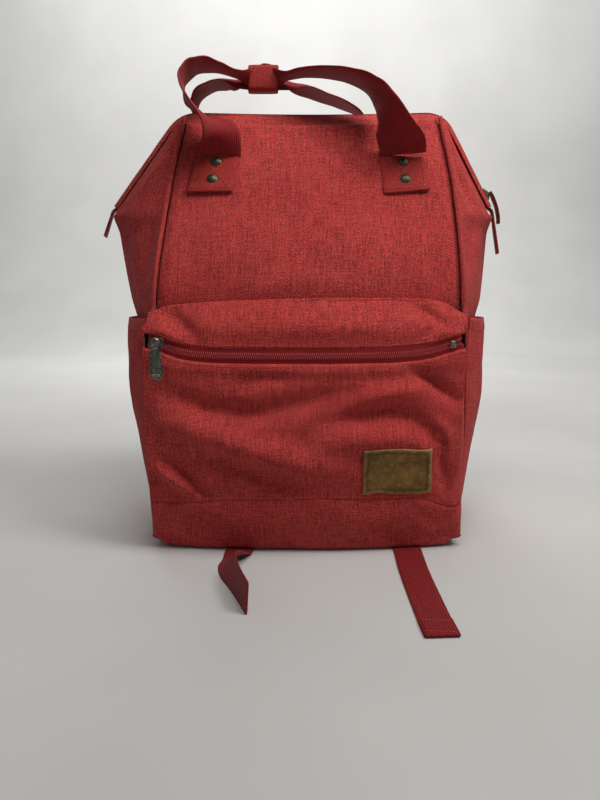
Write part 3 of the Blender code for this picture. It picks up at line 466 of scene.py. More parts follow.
def makeRibs():
    # lengthwise ribs crossed by fine picks, as on webbing and zip tape
    group, start, end = startGroup(
        "ribbedWeave",
        [("Cloth", "NodeSocketVector", None), ("Light", "NodeSocketColor", (0.6, 0.05, 0.06, 1)),
         ("Dark", "NodeSocketColor", (0.2, 0.01, 0.01, 1)), ("Ribs Per Metre", "NodeSocketFloat", 520.0),
         ("Picks Per Metre", "NodeSocketFloat", 900.0)],
        [("Colour", "NodeSocketColor"), ("Height", "NodeSocketFloat")])
    cloth = start.outputs["Cloth"]
    split = group.nodes.new("ShaderNodeSeparateXYZ")
    group.links.new(cloth, split.inputs[0])
    across = mathNode(group, "MULTIPLY", split.outputs[0], start.outputs["Ribs Per Metre"])
    rib = mathNode(group, "ABSOLUTE", mathNode(group, "SINE", mathNode(group, "MULTIPLY", across, math.pi)))
    odd = mathNode(group, "MULTIPLY", mathNode(group, "FLOOR", across), math.pi)
    picks = mathNode(group, "MULTIPLY", split.outputs[1], start.outputs["Picks Per Metre"])
    picks = mathNode(group, "MULTIPLY_ADD", picks, 2 * math.pi, odd)
    pick = mathNode(group, "SINE", picks)
    streak = noiseValue(group, stretched(group, cloth, 900, 30), 1.0, 2.0, 0.5)
    fine = noiseValue(group, stretched(group, cloth, 1500, 1500), 1.0, 1.0, 0.5)
    tone = mathNode(group, "MULTIPLY_ADD", rib, 0.62, 0.02)
    tone = mathNode(group, "MULTIPLY_ADD", pick, 0.12, tone)
    tone = mathNode(group, "MULTIPLY_ADD", mathNode(group, "SUBTRACT", streak, 0.5), 0.5, tone)
    tone = mathNode(group, "MULTIPLY_ADD", mathNode(group, "SUBTRACT", fine, 0.5), 0.35, tone, clamp=True)
    colour = mixColour(group, tone, start.outputs["Dark"], start.outputs["Light"])
    height = mathNode(group, "MULTIPLY_ADD", pick, 0.18, rib)
    height = mathNode(group, "MULTIPLY_ADD", fine, 0.25, height)
    group.links.new(colour, end.inputs["Colour"])
    group.links.new(height, end.inputs["Height"])
    return group


def makeWear():
    # rubbed edges and fine scuffs: a mask for bare, bright metal or pale leather
    group, start, end = startGroup(
        "edgeWear",
        [("Place", "NodeSocketVector", None), ("Amount", "NodeSocketFloat", 0.5),
         ("Size", "NodeSocketFloat", 700.0)],
        [("Worn", "NodeSocketFloat"), ("Scuff", "NodeSocketFloat")])
    geometry = group.nodes.new("ShaderNodeNewGeometry")
    scuff = group.nodes.new("ShaderNodeTexNoise")
    group.links.new(start.outputs["Place"], scuff.inputs["Vector"])
    group.links.new(start.outputs["Size"], scuff.inputs["Scale"])
    scuff.inputs["Detail"].default_value = 3.0
    sharp = mathNode(group, "SUBTRACT", geometry.outputs["Pointiness"], 0.5)
    patchy = mathNode(group, "MULTIPLY", mathNode(group, "SUBTRACT", scuff.outputs["Fac"], 0.5), 1.3)
    raised = mathNode(group, "MULTIPLY_ADD", sharp, 7.0, patchy)
    worn = mathNode(group, "MULTIPLY", raised, start.outputs["Amount"], clamp=True)
    group.links.new(worn, end.inputs["Worn"])
    group.links.new(scuff.outputs["Fac"], end.inputs["Scuff"])
    return group


def makeDust():
    # a light uneven film, in cloudy patches of fine specks
    group, start, end = startGroup(
        "clothDust",
        [("Colour", "NodeSocketColor", (1, 1, 1, 1)), ("Place", "NodeSocketVector", None),
         ("Amount", "NodeSocketFloat", 0.1), ("Dust", "NodeSocketColor", (0.55, 0.36, 0.3, 1))],
        [("Colour", "NodeSocketColor")])
    broad = noiseValue(group, start.outputs["Place"], 14.0, 3.0, 0.6)
    specks = noiseValue(group, start.outputs["Place"], 420.0, 2.0, 0.7)
    clouds, points = smoothMask(group, broad, 0.42, 0.72), smoothMask(group, specks, 0.4, 0.75)
    film = mathNode(group, "MULTIPLY", clouds, points)
    share = mathNode(group, "MULTIPLY", film, start.outputs["Amount"])
    group.links.new(mixColour(group, share, start.outputs["Colour"], start.outputs["Dust"]), end.inputs["Colour"])
    return group


def smoothMask(tree, value, low, high):
    node = tree.nodes.new("ShaderNodeMapRange")
    node.interpolation_type = "SMOOTHSTEP"
    tree.links.new(value, node.inputs["Value"])
    node.inputs["From Min"].default_value = low
    node.inputs["From Max"].default_value = high
    return node.outputs["Result"]


heather = makeHeather()
ribs = makeRibs()
wear = makeWear()
dust = makeDust()


def startMaterial(name, rough, metallic=0.0, sheen=0.0):
    material = bpy.data.materials.new(name)
    material.use_nodes = True
    tree = material.node_tree
    shader = tree.nodes["Principled BSDF"]
    shader.inputs["Roughness"].default_value = rough
    shader.inputs["Metallic"].default_value = metallic
    shader.inputs["Sheen Weight"].default_value = sheen
    shader.inputs["Sheen Roughness"].default_value = 0.5
    shader.inputs["Specular IOR Level"].default_value = 0.5 if metallic > 0.5 or rough < 0.6 else 0.22
    return material, tree, shader


def placeGroup(tree, group, **values):
    node = tree.nodes.new("ShaderNodeGroup")
    node.node_tree = group
    for label, value in values.items():
        wire(tree, value, node.inputs[label.replace("_", " ")])
    return node


def bumpFrom(tree, shader, height, strength, distance):
    bump = tree.nodes.new("ShaderNodeBump")
    bump.inputs["Strength"].default_value = strength
    bump.inputs["Distance"].default_value = distance
    tree.links.new(height, bump.inputs["Height"])
    tree.links.new(bump.outputs["Normal"], shader.inputs["Normal"])


def clothMaterial(name, light, dark, contrast=1.0, dusty=0.12, rough=0.88, sheen=0.12):
    material, tree, shader = startMaterial(name, rough, sheen=sheen)
    cloth = tree.nodes.new("ShaderNodeUVMap")
    cloth.uv_map = "UVMap"
    place = tree.nodes.new("ShaderNodeTexCoord")
    weave = placeGroup(tree, heather, Cloth=cloth.outputs["UV"], Light=light, Dark=dark, Contrast=contrast)
    film = placeGroup(tree, dust, Colour=weave.outputs["Colour"], Place=place.outputs["Object"], Amount=dusty)
    tree.links.new(film.outputs["Colour"], shader.inputs["Base Color"])
    bumpFrom(tree, shader, weave.outputs["Height"], 0.55, 0.0005)
    return material


def ribMaterial(name, light, dark, ribsPerMetre, picksPerMetre, rough, dusty=0.06, strength=0.7):
    material, tree, shader = startMaterial(name, rough, sheen=0.05)
    cloth = tree.nodes.new("ShaderNodeUVMap")
    cloth.uv_map = "UVMap"
    place = tree.nodes.new("ShaderNodeTexCoord")
    weave = placeGroup(tree, ribs, Cloth=cloth.outputs["UV"], Light=light, Dark=dark,
                       Ribs_Per_Metre=ribsPerMetre, Picks_Per_Metre=picksPerMetre)
    film = placeGroup(tree, dust, Colour=weave.outputs["Colour"], Place=place.outputs["Object"], Amount=dusty)
    tree.links.new(film.outputs["Colour"], shader.inputs["Base Color"])
    bumpFrom(tree, shader, weave.outputs["Height"], strength, 0.0006)
    return material


def metalMaterial(name, dark, bright, rough, metallic, amount):
    material, tree, shader = startMaterial(name, rough, metallic)
    place = tree.nodes.new("ShaderNodeTexCoord")
    rub = placeGroup(tree, wear, Place=place.outputs["Object"], Amount=amount, Size=650.0)
    tree.links.new(mixColour(tree, rub.outputs["Worn"], dark, bright), shader.inputs["Base Color"])
    patina = smoothMask(tree, rub.outputs["Scuff"], 0.2, 0.8)
    tree.links.new(mathNode(tree, "MULTIPLY_ADD", patina, 0.25, rough - 0.1), shader.inputs["Roughness"])
    bumpFrom(tree, shader, rub.outputs["Scuff"], 0.15, 0.0002)
    return material


def plainMaterial(name, colour, second, rough, size, strength, metallic=0.0):
    material, tree, shader = startMaterial(name, rough, metallic)
    place = tree.nodes.new("ShaderNodeTexCoord")
    grain = noiseValue(tree, place.outputs["Object"], size, 3.0, 0.6)
    tree.links.new(mixColour(tree, smoothMask(tree, grain, 0.3, 0.7), colour, second), shader.inputs["Base Color"])
    bumpFrom(tree, shader, grain, strength, 0.0003)
    return material


def leatherMaterial(name, light, dark):
    material, tree, shader = startMaterial(name, 0.62)
    place = tree.nodes.new("ShaderNodeTexCoord")
    pores = tree.nodes.new("ShaderNodeTexVoronoi")
    tree.links.new(place.outputs["Object"], pores.inputs["Vector"])
    pores.inputs["Scale"].default_value = 900.0
    cloudy = noiseValue(tree, place.outputs["Object"], 60.0, 4.0, 0.65)
    rub = placeGroup(tree, wear, Place=place.outputs["Object"], Amount=0.9, Size=240.0)
    tone = mixColour(tree, smoothMask(tree, cloudy, 0.25, 0.75), dark, light)
    tree.links.new(mixColour(tree, rub.outputs["Worn"], tone, (0.42, 0.24, 0.11, 1)), shader.inputs["Base Color"])
    bumpFrom(tree, shader, mathNode(tree, "ADD", pores.outputs["Distance"], cloudy), 0.35, 0.0004)
    return material


canvas = clothMaterial("heatherCanvas", (0.64, 0.07, 0.06, 1), (0.18, 0.01, 0.011, 1), 1.15, 0.05, 0.9, 0.03)
# the same red canvas darkened to about half: painted shade for inner faces and walls that lie in shade
paintedShadeCanvas = clothMaterial("paintedShadeCanvas", (0.32, 0.05, 0.045, 1), (0.16, 0.015, 0.016, 1), 0.8)
liningCloth = clothMaterial("liningCloth", (0.56, 0.46, 0.36, 1), (0.38, 0.3, 0.22, 1), 0.5, 0.05, 0.8)
padMesh = clothMaterial("spacerMesh", (0.3, 0.04, 0.04, 1), (0.07, 0.008, 0.01, 1), 1.5, 0.1, 0.95)
webbing = ribMaterial("ribbedWebbing", (0.42, 0.016, 0.02, 1), (0.12, 0.004, 0.007, 1), 500.0, 820.0, 0.7, 0.03)
tailWebbing = ribMaterial("strapWebbing", (0.36, 0.01, 0.013, 1), (0.1, 0.003, 0.005, 1), 460.0, 700.0, 0.62)
patchWebbing = ribMaterial("patchWebbing", (0.45, 0.03, 0.024, 1), (0.24, 0.012, 0.012, 1), 640.0, 900.0, 0.75,
                           0.1, 0.4)
zipTape = ribMaterial("zipTape", (0.42, 0.017, 0.021, 1), (0.2, 0.007, 0.01, 1), 1400.0, 1100.0, 0.72,
                      0.03, 0.35)
coilNylon = plainMaterial("coilNylon", (0.62, 0.1, 0.09, 1), (0.5, 0.06, 0.06, 1), 0.3, 900.0, 0.1)
thread = plainMaterial("seamThread", (0.62, 0.11, 0.06, 1), (0.42, 0.06, 0.035, 1), 0.6, 1500.0, 0.2)
darkThread = plainMaterial("darkThread", (0.03, 0.012, 0.01, 1), (0.06, 0.03, 0.02, 1), 0.7, 1500.0, 0.2)
gunmetal = metalMaterial("agedGunmetal", (0.045, 0.055, 0.045, 1), (0.42, 0.4, 0.33, 1), 0.36, 0.9, 1.3)
rivetMetal = metalMaterial("rivetMetal", (0.05, 0.052, 0.036, 1), (0.24, 0.22, 0.15, 1), 0.42, 0.9, 0.9)
springSteel = metalMaterial("springSteel", (0.35, 0.35, 0.36, 1), (0.6, 0.6, 0.6, 1), 0.3, 1.0, 0.4)
acetal = plainMaterial("mouldedAcetal", (0.2, 0.012, 0.016, 1), (0.24, 0.02, 0.022, 1), 0.4, 500.0, 0.05)
boardSkin = plainMaterial("stiffenerBoard", (0.03, 0.03, 0.03, 1), (0.05, 0.05, 0.05, 1), 0.7, 300.0, 0.1)
tanLeather = leatherMaterial("tanLeather", (0.235, 0.125, 0.03, 1), (0.115, 0.06, 0.012, 1))
print("materials ready")


# ---- bag outline ---------------------------------------------------------

bag = {
    "pipingLeft": ((0, 139), (100, 139), (187, 136), (207, 131.5), (221, 130.5), (307, 121), (380, 109)),
    "pipingRight": ((0, 139), (100, 137), (187, 133), (207, 133.5), (221, 133), (307, 129), (384, 118)),
    "seamLeft": ((8, 134), (48, 134.3), (115, 137), (187, 136.5), (221, 132)),
    "seamRight": ((8, 132), (20, 130), (43, 122.5), (60, 123.5), (115, 129), (187, 132.5), (221, 134)),
    "rear": ((0, 139), (10, 139), (100, 137), (200, 133), (290, 127), (380, 112)),
    "ridgeLeft": ((0, 139.5), (8, 140.5), (50, 149), (100, 156), (150, 160), (190, 161.5), (206, 166),
                  (222, 170), (300, 180), (306, 180.5)),
    "ridgeRight": ((0, 139.5), (8, 140.5), (50, 149), (100, 156), (150, 160), (190, 161.5), (206, 166),
                   (222, 169.5), (285, 172.5), (306, 173.5)),
    "pocketRidge": ((0, 142), (14, 144), (50, 156), (100, 166), (150, 172), (190, 173), (208, 171)),
    "frontDepth": ((0, 76), (200, 76), (221, 76), (307, 50), (384, 19.5)),
    "frontBulge": ((0, 5), (190, 6), (221, 9), (307, 8), (384, 3)),
    "pocketDepth": ((8, 85), (43, 96), (100, 99), (187, 99), (200, 95), (221, 81)),
    "pocketBulge": ((8, 10), (47, 9), (105, 13), (150, 10.5), (165, 6.8), (187, 5.0), (200, 8.5), (221, 8)),
    "rearDepth": ((0, 80), (10, 82), (290, 82), (310, 69), (349, 44), (384, 18)),
    "zipLine": ((-140, 189), (-128, 187), (-116, 183), (-104, 179.4), (-92, 177.6), (-66, 176.3), (0, 176),
                (63, 176.6), (89, 178), (104, 180.4), (118, 184.6), (134, 189)),
    "zipEdge": 6.0,
    "flapTop": ((-140, 207), (-131, 211), (-120, 216), (-90, 219), (-40, 221.5), (20, 222.8), (70, 223),
                (105, 221.5), (118, 218), (128, 212), (140, 206)),
    "baseSeam": ((-140, 47.5), (-120, 48), (-95, 48.6), (-60, 51.5), (0, 52.5), (60, 53), (92, 53),
                 (106, 48.5), (124, 42.8), (140, 42)),
    "topSeam": ((-120, 378), (-104, 376.5), (-60, 374.6), (0, 373.6), (50, 375), (90, 379), (122, 381.5)),
}
line = {key: smoothLine(value) for key, value in bag.items() if isinstance(value, tuple)}
hingeX = {-1: -180.0, 1: 173.0}
topX = {-1: -116.0, 1: 126.0}


def cornerX(side, z, kind):
    return side * line[kind + ("Left" if side < 0 else "Right")](z)


def pocketFace(x, z):
    # depth of the pocket's face, without its folds
    reach = np.where(x < 0, x / cornerX(-1, z, "seam"), x / cornerX(1, z, "seam"))
    reach = np.clip(np.abs(reach), 0, 1)
    return -(line["pocketDepth"](z) + line["pocketBulge"](z) * (1 - reach**2.4))


def upperFace(x, z):
    reach = np.where(x < 0, x / cornerX(-1, z, "piping"), x / cornerX(1, z, "piping"))
    reach = np.clip(np.abs(reach), 0, 1)
    return -(line["frontDepth"](z) + line["frontBulge"](z) * (1 - reach**2))


# ---- front pocket --------------------------------------------------------

pocket = {
    "across": 150, "up": 84, "returnColumns": 9, "thick": 1.3, "unevenness": 0.9,
    "folds": (
        {"line": ((-128, 170), (-60, 169), (0, 168), (70, 169), (118, 172)), "width": 8, "height": 3.6},
        {"line": ((-124, 149), (-104, 139), (-85, 131), (-44, 128), (0, 139), (30, 146)),
         "width": 9.5, "height": -4.6},
        {"line": ((-134, 128), (-118, 122), (-88, 111), (-47, 98), (0, 84), (30, 80)),
         "width": 13, "height": 5.4},
        {"line": ((-92, 95), (-60, 84), (-30, 71), (6, 60)), "width": 8.5, "height": -3.6},
        {"line": ((-133, 81), (-118, 72), (-98, 58)), "width": 5.5, "height": 4.2},
        {"line": ((-122, 88), (-104, 72), (-84, 50)), "width": 5, "height": -4.2},
        {"line": ((18, 119), (44, 126), (66, 131), (88, 124), (112, 103)), "width": 8, "height": -4.6},
        {"line": ((86, 166), (104, 155), (127, 137)), "width": 6, "height": -4.6},
        {"line": ((40, 139), (70, 146), (98, 148)), "width": 7.5, "height": 3.0},
        {"line": ((10, 101), (40, 107), (84, 107), (104, 96)), "width": 10, "height": 3.8},
        {"line": ((112, 92), (117, 76), (121, 58)), "width": 4.5, "height": -2.4},
        {"line": ((108, 122), (118, 112), (124, 96)), "width": 5, "height": 2.4},
        {"line": ((-60, 150), (-40, 158), (-10, 157)), "width": 6, "height": -1.6},
    ),
}


zipEdge = bag["zipEdge"]


def pocketShell(bottom, top, rows, folds, closing=0.0):
    # the face between two heights, with a return round each end seam to the bag's side
    columns = pocket["across"]
    share = np.linspace(-1, 1, columns)
    back = pocket["returnColumns"]
    grid = np.zeros((rows, columns + 2 * back, 3))
    for i, t in enumerate(np.linspace(0, 1, rows)):
        x = np.zeros(columns)
        z = np.zeros(columns)
        level = bottom(0) + (top(0) - bottom(0)) * t
        for _ in range(2):
            left, right = cornerX(-1, level, "seam"), cornerX(1, level, "seam")
            x = np.where(share < 0, -share * left, share * right)
            z = bottom(x) + (top(x) - bottom(x)) * t
            level = z
        y = pocketFace(x, z) - folds(x, z)
        face = np.stack([x, y, z], axis=1)
        grid[i, back:back + columns] = face
        for side, first, outer in ((-1, face[0], slice(0, back)), (1, face[-1], slice(back + columns, None))):
            edge = line["pipingLeft" if side < 0 else "pipingRight"](first[2])
            far = np.array((side * (edge + 0.8), -80.2, first[2]))
            steps = []
            for k in range(1, back + 1):
                u = k / back
                turn = math.sin(u * math.pi / 2)
                place = first + (far - first) * np.array((turn, 1 - math.cos(u * math.pi / 2), 0))
                place = place + np.array((side * 0.4, -0.5, 0)) * math.sin(min(1, u * 3) * math.pi)
                place[2] += closing * min(1, k / 2) * t ** 12
                steps.append(place)
            steps = np.array(steps[::-1] if side < 0 else steps)
            grid[i, outer] = steps
    return grid


def baseSeamHeight(x):
    return line["baseSeam"](x)


def zipLower(x):
    return line["zipLine"](x) - zipEdge


def zipUpper(x):
    return line["zipLine"](x) + zipEdge


def flapTopHeight(x):
    return line["flapTop"](x)


def panelFolds(x, z):
    low = smoothStep(z, baseSeamHeight(x), baseSeamHeight(x) + 8)
    high = 1 - smoothStep(z, zipLower(x) - 9, zipLower(x) - 1)
    ends = smoothStep(np.abs(x), 140, 126)
    return 1.5 * foldRelief(x, z, pocket["folds"]) * low * (0.55 + 0.45 * high) * (0.3 + 0.7 * ends)


grid = pocketShell(lambda x: baseSeamHeight(x) + 0.1, zipLower, pocket["up"], panelFolds, 18.0)
grid[:, :, 1] -= pocket["unevenness"] * ripple(grid, 26, 3) + 0.35 * ripple(grid, 9, 5)
tuck = smoothStep(grid[:, :, 2], baseSeamHeight(grid[:, :, 0]) + 2.0, baseSeamHeight(grid[:, :, 0]) + 0.1)
grid[:, :, 1] += 0.6 * tuck                      # the seam's edge sinks a little
lip = smoothStep(zipLower(grid[:, :, 0]) - grid[:, :, 2], 1.6, 0.0)
grid[:, :, 1] += 0.9 * lip
panelGrid = grid
panel = clothSheet("pocketPanel", grid, pocket["thick"], canvas, paintedShadeCanvas)
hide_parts("pocket_panel")
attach(panel, "bag")

flap = {
    "rows": 40,
    "folds": (
        {"line": ((-124, 213), (-108, 204), (-94, 193)), "width": 6.5, "height": -5.2},
        {"line": ((-132, 200), (-118, 194), (-104, 187)), "width": 6, "height": 2.6},
        {"line": ((-96, 214), (-84, 205), (-74, 196)), "width": 9, "height": 1.6},
        {"line": ((88, 215), (102, 209), (112, 203)), "width": 5.5, "height": -5.6},
        {"line": ((112, 203), (100, 195), (92, 190)), "width": 4.2, "height": -3.0},
        {"line": ((108, 196), (120, 192), (130, 193)), "width": 5, "height": 2.2},
        {"line": ((-40, 205), (0, 203), (60, 205)), "width": 10, "height": 1.3},
    ),
}


def flapRelief(x, z):
    ends = smoothStep(np.abs(x), 138, 128)
    low = smoothStep(z, zipUpper(x) + 0.5, zipUpper(x) + 6)
    return foldRelief(x, z, flap["folds"]) * ends * (0.4 + 0.6 * low)


grid = pocketShell(zipUpper, flapTopHeight, flap["rows"], flapRelief)
grid[:, :, 1] -= 0.7 * ripple(grid, 24, 8) + 0.3 * ripple(grid, 8, 9)
roll = []
for k, (inward, drop) in enumerate(((1.6, 0.35), (3.6, 0.1), (5.6, -1.4), (7.0, -4.0))):
    row = grid[-1].copy()
    row[:, 1] = np.minimum(row[:, 1] + inward, -78.6)
    row[:, 2] += drop
    roll.append(row)
grid = np.concatenate([grid, np.array(roll)])
lip = smoothStep(grid[:, :, 2] - zipUpper(grid[:, :, 0]), 1.6, 0.0)
grid[:, :, 1] += 0.9 * lip
flapGrid = grid
flapPiece = clothSheet("pocketFlap", grid, 1.3, canvas, paintedShadeCanvas)
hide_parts("pocket_flap")
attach(flapPiece, "bag")
print("pocket ready")


# ---- front zip -----------------------------------------------------------

frontZip = {"tape": (1.5, 7.4), "sink": 1.3, "pitch": 1.7, "toothWide": 2.7}


def zipSurface(x):
    # face of the zip tape: it sits just behind the two cloth edges
    z = line["zipLine"](x)
    return (pocketFace(x, zipUpper(x)) + pocketFace(x, zipLower(x))) / 2 + frontZip["sink"], z


def zipTapeGrid(low, high):
    xs = np.linspace(-132.5, 129.5, 120)
    y, z = zipSurface(xs)
    slope = np.gradient(z, xs)
    rows = []
    for off in np.linspace(low, high, 6):
        rows.append(np.stack([xs - slope * off, y, z + off], axis=1))
    return np.array(rows)


near, far = frontZip["tape"]
for label, low, high in (("Lower", -far, -near), ("Upper", near, far)):
    tape = clothSheet("pocketZipTape" + label, zipTapeGrid(low, high), 0.7, zipTape, turn=True)
    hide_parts("pocket_zip_tape_" + label.lower())
    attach(tape, "bag")


def coilTeeth(name, path, acrossDirs, outs, settings, bothSides=True):
    # interlocked nylon turns: a small rounded bar for each turn, left and right by turns
    path, acrossDirs, outs = (np.array(v, float) for v in (path, acrossDirs, outs))
    marks = np.concatenate([[0], np.cumsum(np.linalg.norm(path[1:] - path[:-1], axis=1))])
    points, faces = [], []
    place, turn = settings["pitch"], 0
    while place < marks[-1]:
        centre = np.array([np.interp(place, marks, path[:, i]) for i in range(3)])
        side = np.array([np.interp(place, marks, acrossDirs[:, i]) for i in range(3)])
        out = np.array([np.interp(place, marks, outs[:, i]) for i in range(3)])
        ahead = np.cross(side, out)
        sign = (1 if turn % 2 else -1) if bothSides else 1
        middle = centre + side * sign * settings["toothWide"] * (0.52 if bothSides else 0.5)
        base = len(points)
        half = settings["toothWide"] / 2
        for s, size, rise in ((-1.0, 0.55, -0.1), (-0.6, 1.0, 0.25), (0.6, 1.0, 0.3), (1.0, 0.5, -0.2)):
            for j in range(6):
                angle = math.pi * 2 * j / 6
                spoke = ahead * math.cos(angle) + out * math.sin(angle)
                girth = 0.2 * settings["pitch"] * size * spoke
                points.append(middle + side * sign * s * half + girth + out * rise)
        for i in range(3):
            for j in range(6):
                a, d, c, b = ringQuad(base + i * 6, base + (i + 1) * 6, j, 6)
                faces.append((a, b, c, d))
        faces.append(tuple(base + j for j in range(5, -1, -1)))
        faces.append(tuple(base + 18 + j for j in range(6)))
        place += settings["pitch"] / (2 if bothSides else 1)
        turn += 1
    return meshPiece(name, np.array(points) * mm, faces, [coilNylon])


xs = np.linspace(-131.0, 128.5, 200)
y, z = zipSurface(xs)
slope = np.gradient(z, xs)
up = np.stack([-slope, np.zeros_like(xs), np.ones_like(xs)], axis=1)
up /= np.linalg.norm(up, axis=1, keepdims=True)
forward = np.tile((0.0, -1.0, 0.0), (len(xs), 1))
teeth = coilTeeth("pocketZipCoil", np.stack([xs, y - 0.5, z], axis=1), up, forward, frontZip)
core = webStrap("pocketZipCoilCore", [((a, b + 0.1, c), u, 3.0) for a, b, c, u in
                                      zip(xs[::10], y[::10], z[::10], up[::10])], 0.9, zipTape, 80, 5)
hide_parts("pocket_zip_coil")
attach(core, "bag")
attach(teeth, "bag")


def gridLine(grid, across, offsetUp, lift=0.35):
    # a path at some height over the panel's lower edge, following its surface
    points, outs = [], []
    normals = gridNormals(grid, (0, 0, 150))
    for j in across:
        column = grid[:, j]
        height = np.concatenate([[0], np.cumsum(np.linalg.norm(column[1:] - column[:-1], axis=1))])
        target = offsetUp if offsetUp >= 0 else height[-1] + offsetUp
        place = [np.interp(target, height, column[:, i]) for i in range(3)]
        out = np.array([np.interp(target, height, normals[:, j, i]) for i in range(3)])
        points.append(np.array(place) + out * lift)
        outs.append(out)
    return points, outs


def seamStitches(name, grid, columns, offsetUp, body, pitch=3.0, material=None):
    points, outs = gridLine(grid, columns, offsetUp, 0.05)
    row = stitchRow(name, points, outs, material or thread, pitch, pitch * 0.74, 0.3)
    if body:
        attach(row, body)
    return row


back = pocket["returnColumns"]
faceColumns = range(back + 1, back + pocket["across"] - 1)
seamStitches("zipStitchLower", panelGrid, faceColumns, -2.6, "bag")
seamStitches("zipStitchUpper", flapGrid, faceColumns, 2.6, "bag")
seamStitches("baseStitch", panelGrid, faceColumns, 2.4, "bag")
print("front zip ready")


# ---- upper front panel and piping ----------------------------------------

upper = {
    "across": 110, "up": 84,
    "folds": (
        {"line": ((-120, 318), (-122, 290), (-126, 262)), "width": 9, "height": 1.6},
        {"line": ((-96, 312), (-100, 270), (-104, 232)), "width": 14, "height": -1.4},
        {"line": ((-30, 350), (10, 300), (30, 250)), "width": 26, "height": 1.2},
        {"line": ((100, 300), (106, 262), (112, 232)), "width": 10, "height": -1.5},
        {"line": ((-60, 232), (0, 236), (60, 231)), "width": 9, "height": 1.3},
        {"line": ((-70, 364), (0, 360), (70, 366)), "width": 10, "height": -0.9},
    ),
}


def upperRow(t, count):
    share = np.linspace(-1, 1, count)
    x = share * 130
    for _ in range(3):
        low = flapTopHeight(x) - 9.0
        z = low + (line["topSeam"](np.clip(x, -118, 122)) - low) * t
        left, right = -cornerX(-1, z, "piping") - 1.6, cornerX(1, z, "piping") - 1.6
        x = share * np.where(share < 0, left, right)
    return x, z


rows = []
for t in np.linspace(0, 1, upper["up"]):
    x, z = upperRow(t, upper["across"])
    rows.append(np.stack([x, upperFace(x, z) - 0.9, z], axis=1))
grid = np.array(rows)
lift = foldRelief(grid[:, :, 0], grid[:, :, 2], upper["folds"])
lift = lift + 0.8 * ripple(grid, 45, 11) + 0.3 * ripple(grid, 14, 12)
reach = np.abs(np.linspace(-1, 1, upper["across"]))[None, :]
climb = np.linspace(0, 1, upper["up"])[:, None]
seam = np.clip(smoothStep(reach, 0.93, 1.0) + smoothStep(climb, 0.985, 1.0), 0, 1)
grid[:, :, 1] -= lift * (1 - seam) - 2.4 * seam
piece = clothSheet("frontPanel", grid, 1.3, canvas, liningCloth)
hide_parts("front_panel")
blendFront(piece)

for side, word in ((-1, "Left"), (1, "Right")):
    heights = np.linspace(204, 381, 90)
    x = cornerX(side, heights, "piping")
    across = x + side * 0.6 + 0.25 * ripple(np.stack([x, x, heights], axis=1), 9, 4)
    depth = -line["frontDepth"](heights) - 1.6 - np.clip((214 - heights) * 0.5, 0, 6)
    path = np.stack([across, depth, heights], axis=1)
    cord = cordTube("piping" + word, path, 2.05, canvas, 14)
    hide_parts("piping_" + word.lower())
    blendFront(cord)


# ---- gussets, side panels and side pockets -------------------------------

def ridgeX(side, z):
    return side * line["ridgeLeft" if side < 0 else "ridgeRight"](z)


def slopeX(side, z):
    t = (z - 306.0) / (388.0 - 306.0)
    return hingeX[side] + (topX[side] - hingeX[side]) * t


def rearDepth(z):
    return line["rearDepth"](z)


gusset = {
    "folds": {
        (-1, -1): ({"line": ((0.45, 302), (0.5, 262), (0.42, 232)), "width": 0.16, "height": 3.4},
                   {"line": ((0.16, 300), (0.2, 268), (0.22, 236)), "width": 0.1, "height": -3.2},
                   {"line": ((0.2, 358), (0.45, 330), (0.7, 312)), "width": 0.12, "height": 2.2}),
        (1, -1): ({"line": ((0.2, 345), (0.3, 318), (0.5, 300)), "width": 0.12, "height": -3.4},
                  {"line": ((0.55, 296), (0.5, 262), (0.4, 236)), "width": 0.15, "height": 2.4},
                  {"line": ((0.14, 292), (0.2, 262), (0.18, 236)), "width": 0.1, "height": -2.2}),
        (-1, 1): ({"line": ((0.3, 320), (0.4, 280), (0.5, 240)), "width": 0.14, "height": -2.6},),
        (1, 1): ({"line": ((0.4, 320), (0.35, 280), (0.5, 240)), "width": 0.14, "height": -2.6},),
    },
}


def gussetPlace(side, face, z, t):
    if face < 0:
        seam = np.array((cornerX(side, z, "piping") + side * 1.8, -float(line["frontDepth"](z)) + 0.4, z))
    else:
        edge = float(line["rear"](min(z, 380))) - 1.6
        seam = np.array((side * edge, min(76.0, float(rearDepth(z)) - 3.0), z))
    if z < 298:
        fold = np.array((ridgeX(side, z), face * (0.4 + 14.0 * float(smoothStep(z, 280, 298))), z))
    else:
        fold = np.array((slopeX(side, z) - side * (8.0 if face < 0 else 5.4), face * 14.6, z))
    place = seam + (fold - seam) * t
    swell = 3.2 * math.sin(math.pi * t)
    return place + np.array((side * swell * 0.7, face * swell * 0.7, 0))


for (side, face), folds in gusset["folds"].items():
    word = ("Front" if face < 0 else "Rear") + ("Left" if side < 0 else "Right")
    heights = np.linspace(190, 376.5, 66)
    shares = np.linspace(0, 1, 40)
    grid = np.array([[gussetPlace(side, face, z, t) for t in shares] for z in heights])
    wide = 60
    folds = [dict(f, line=[(a * wide, b) for a, b in f["line"]], width=f["width"] * wide) for f in folds]
    reliefs = foldRelief(np.ones((66, 1)) * shares[None, :] * wide, heights[:, None] * np.ones((1, 40)), folds)
    normals = gridNormals(grid, (0, 0, 290))
    hold = np.sin(np.pi * np.clip(shares, 0, 1))[None, :] ** 0.5 * smoothStep(heights, 190, 215)[:, None]
    lift = (reliefs + 0.9 * ripple(grid, 30, 21 + side) + 0.35 * ripple(grid, 10, 5)) * hold
    grid = grid + normals * lift[:, :, None]
    piece = clothSheet("gusset" + word, grid, 1.3, canvas, liningCloth, (0, 0, 290))
    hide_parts("gusset_" + ("front_" if face < 0 else "rear_") + ("left" if side < 0 else "right"))
    (blendFront if face < 0 else blendRear)(piece)


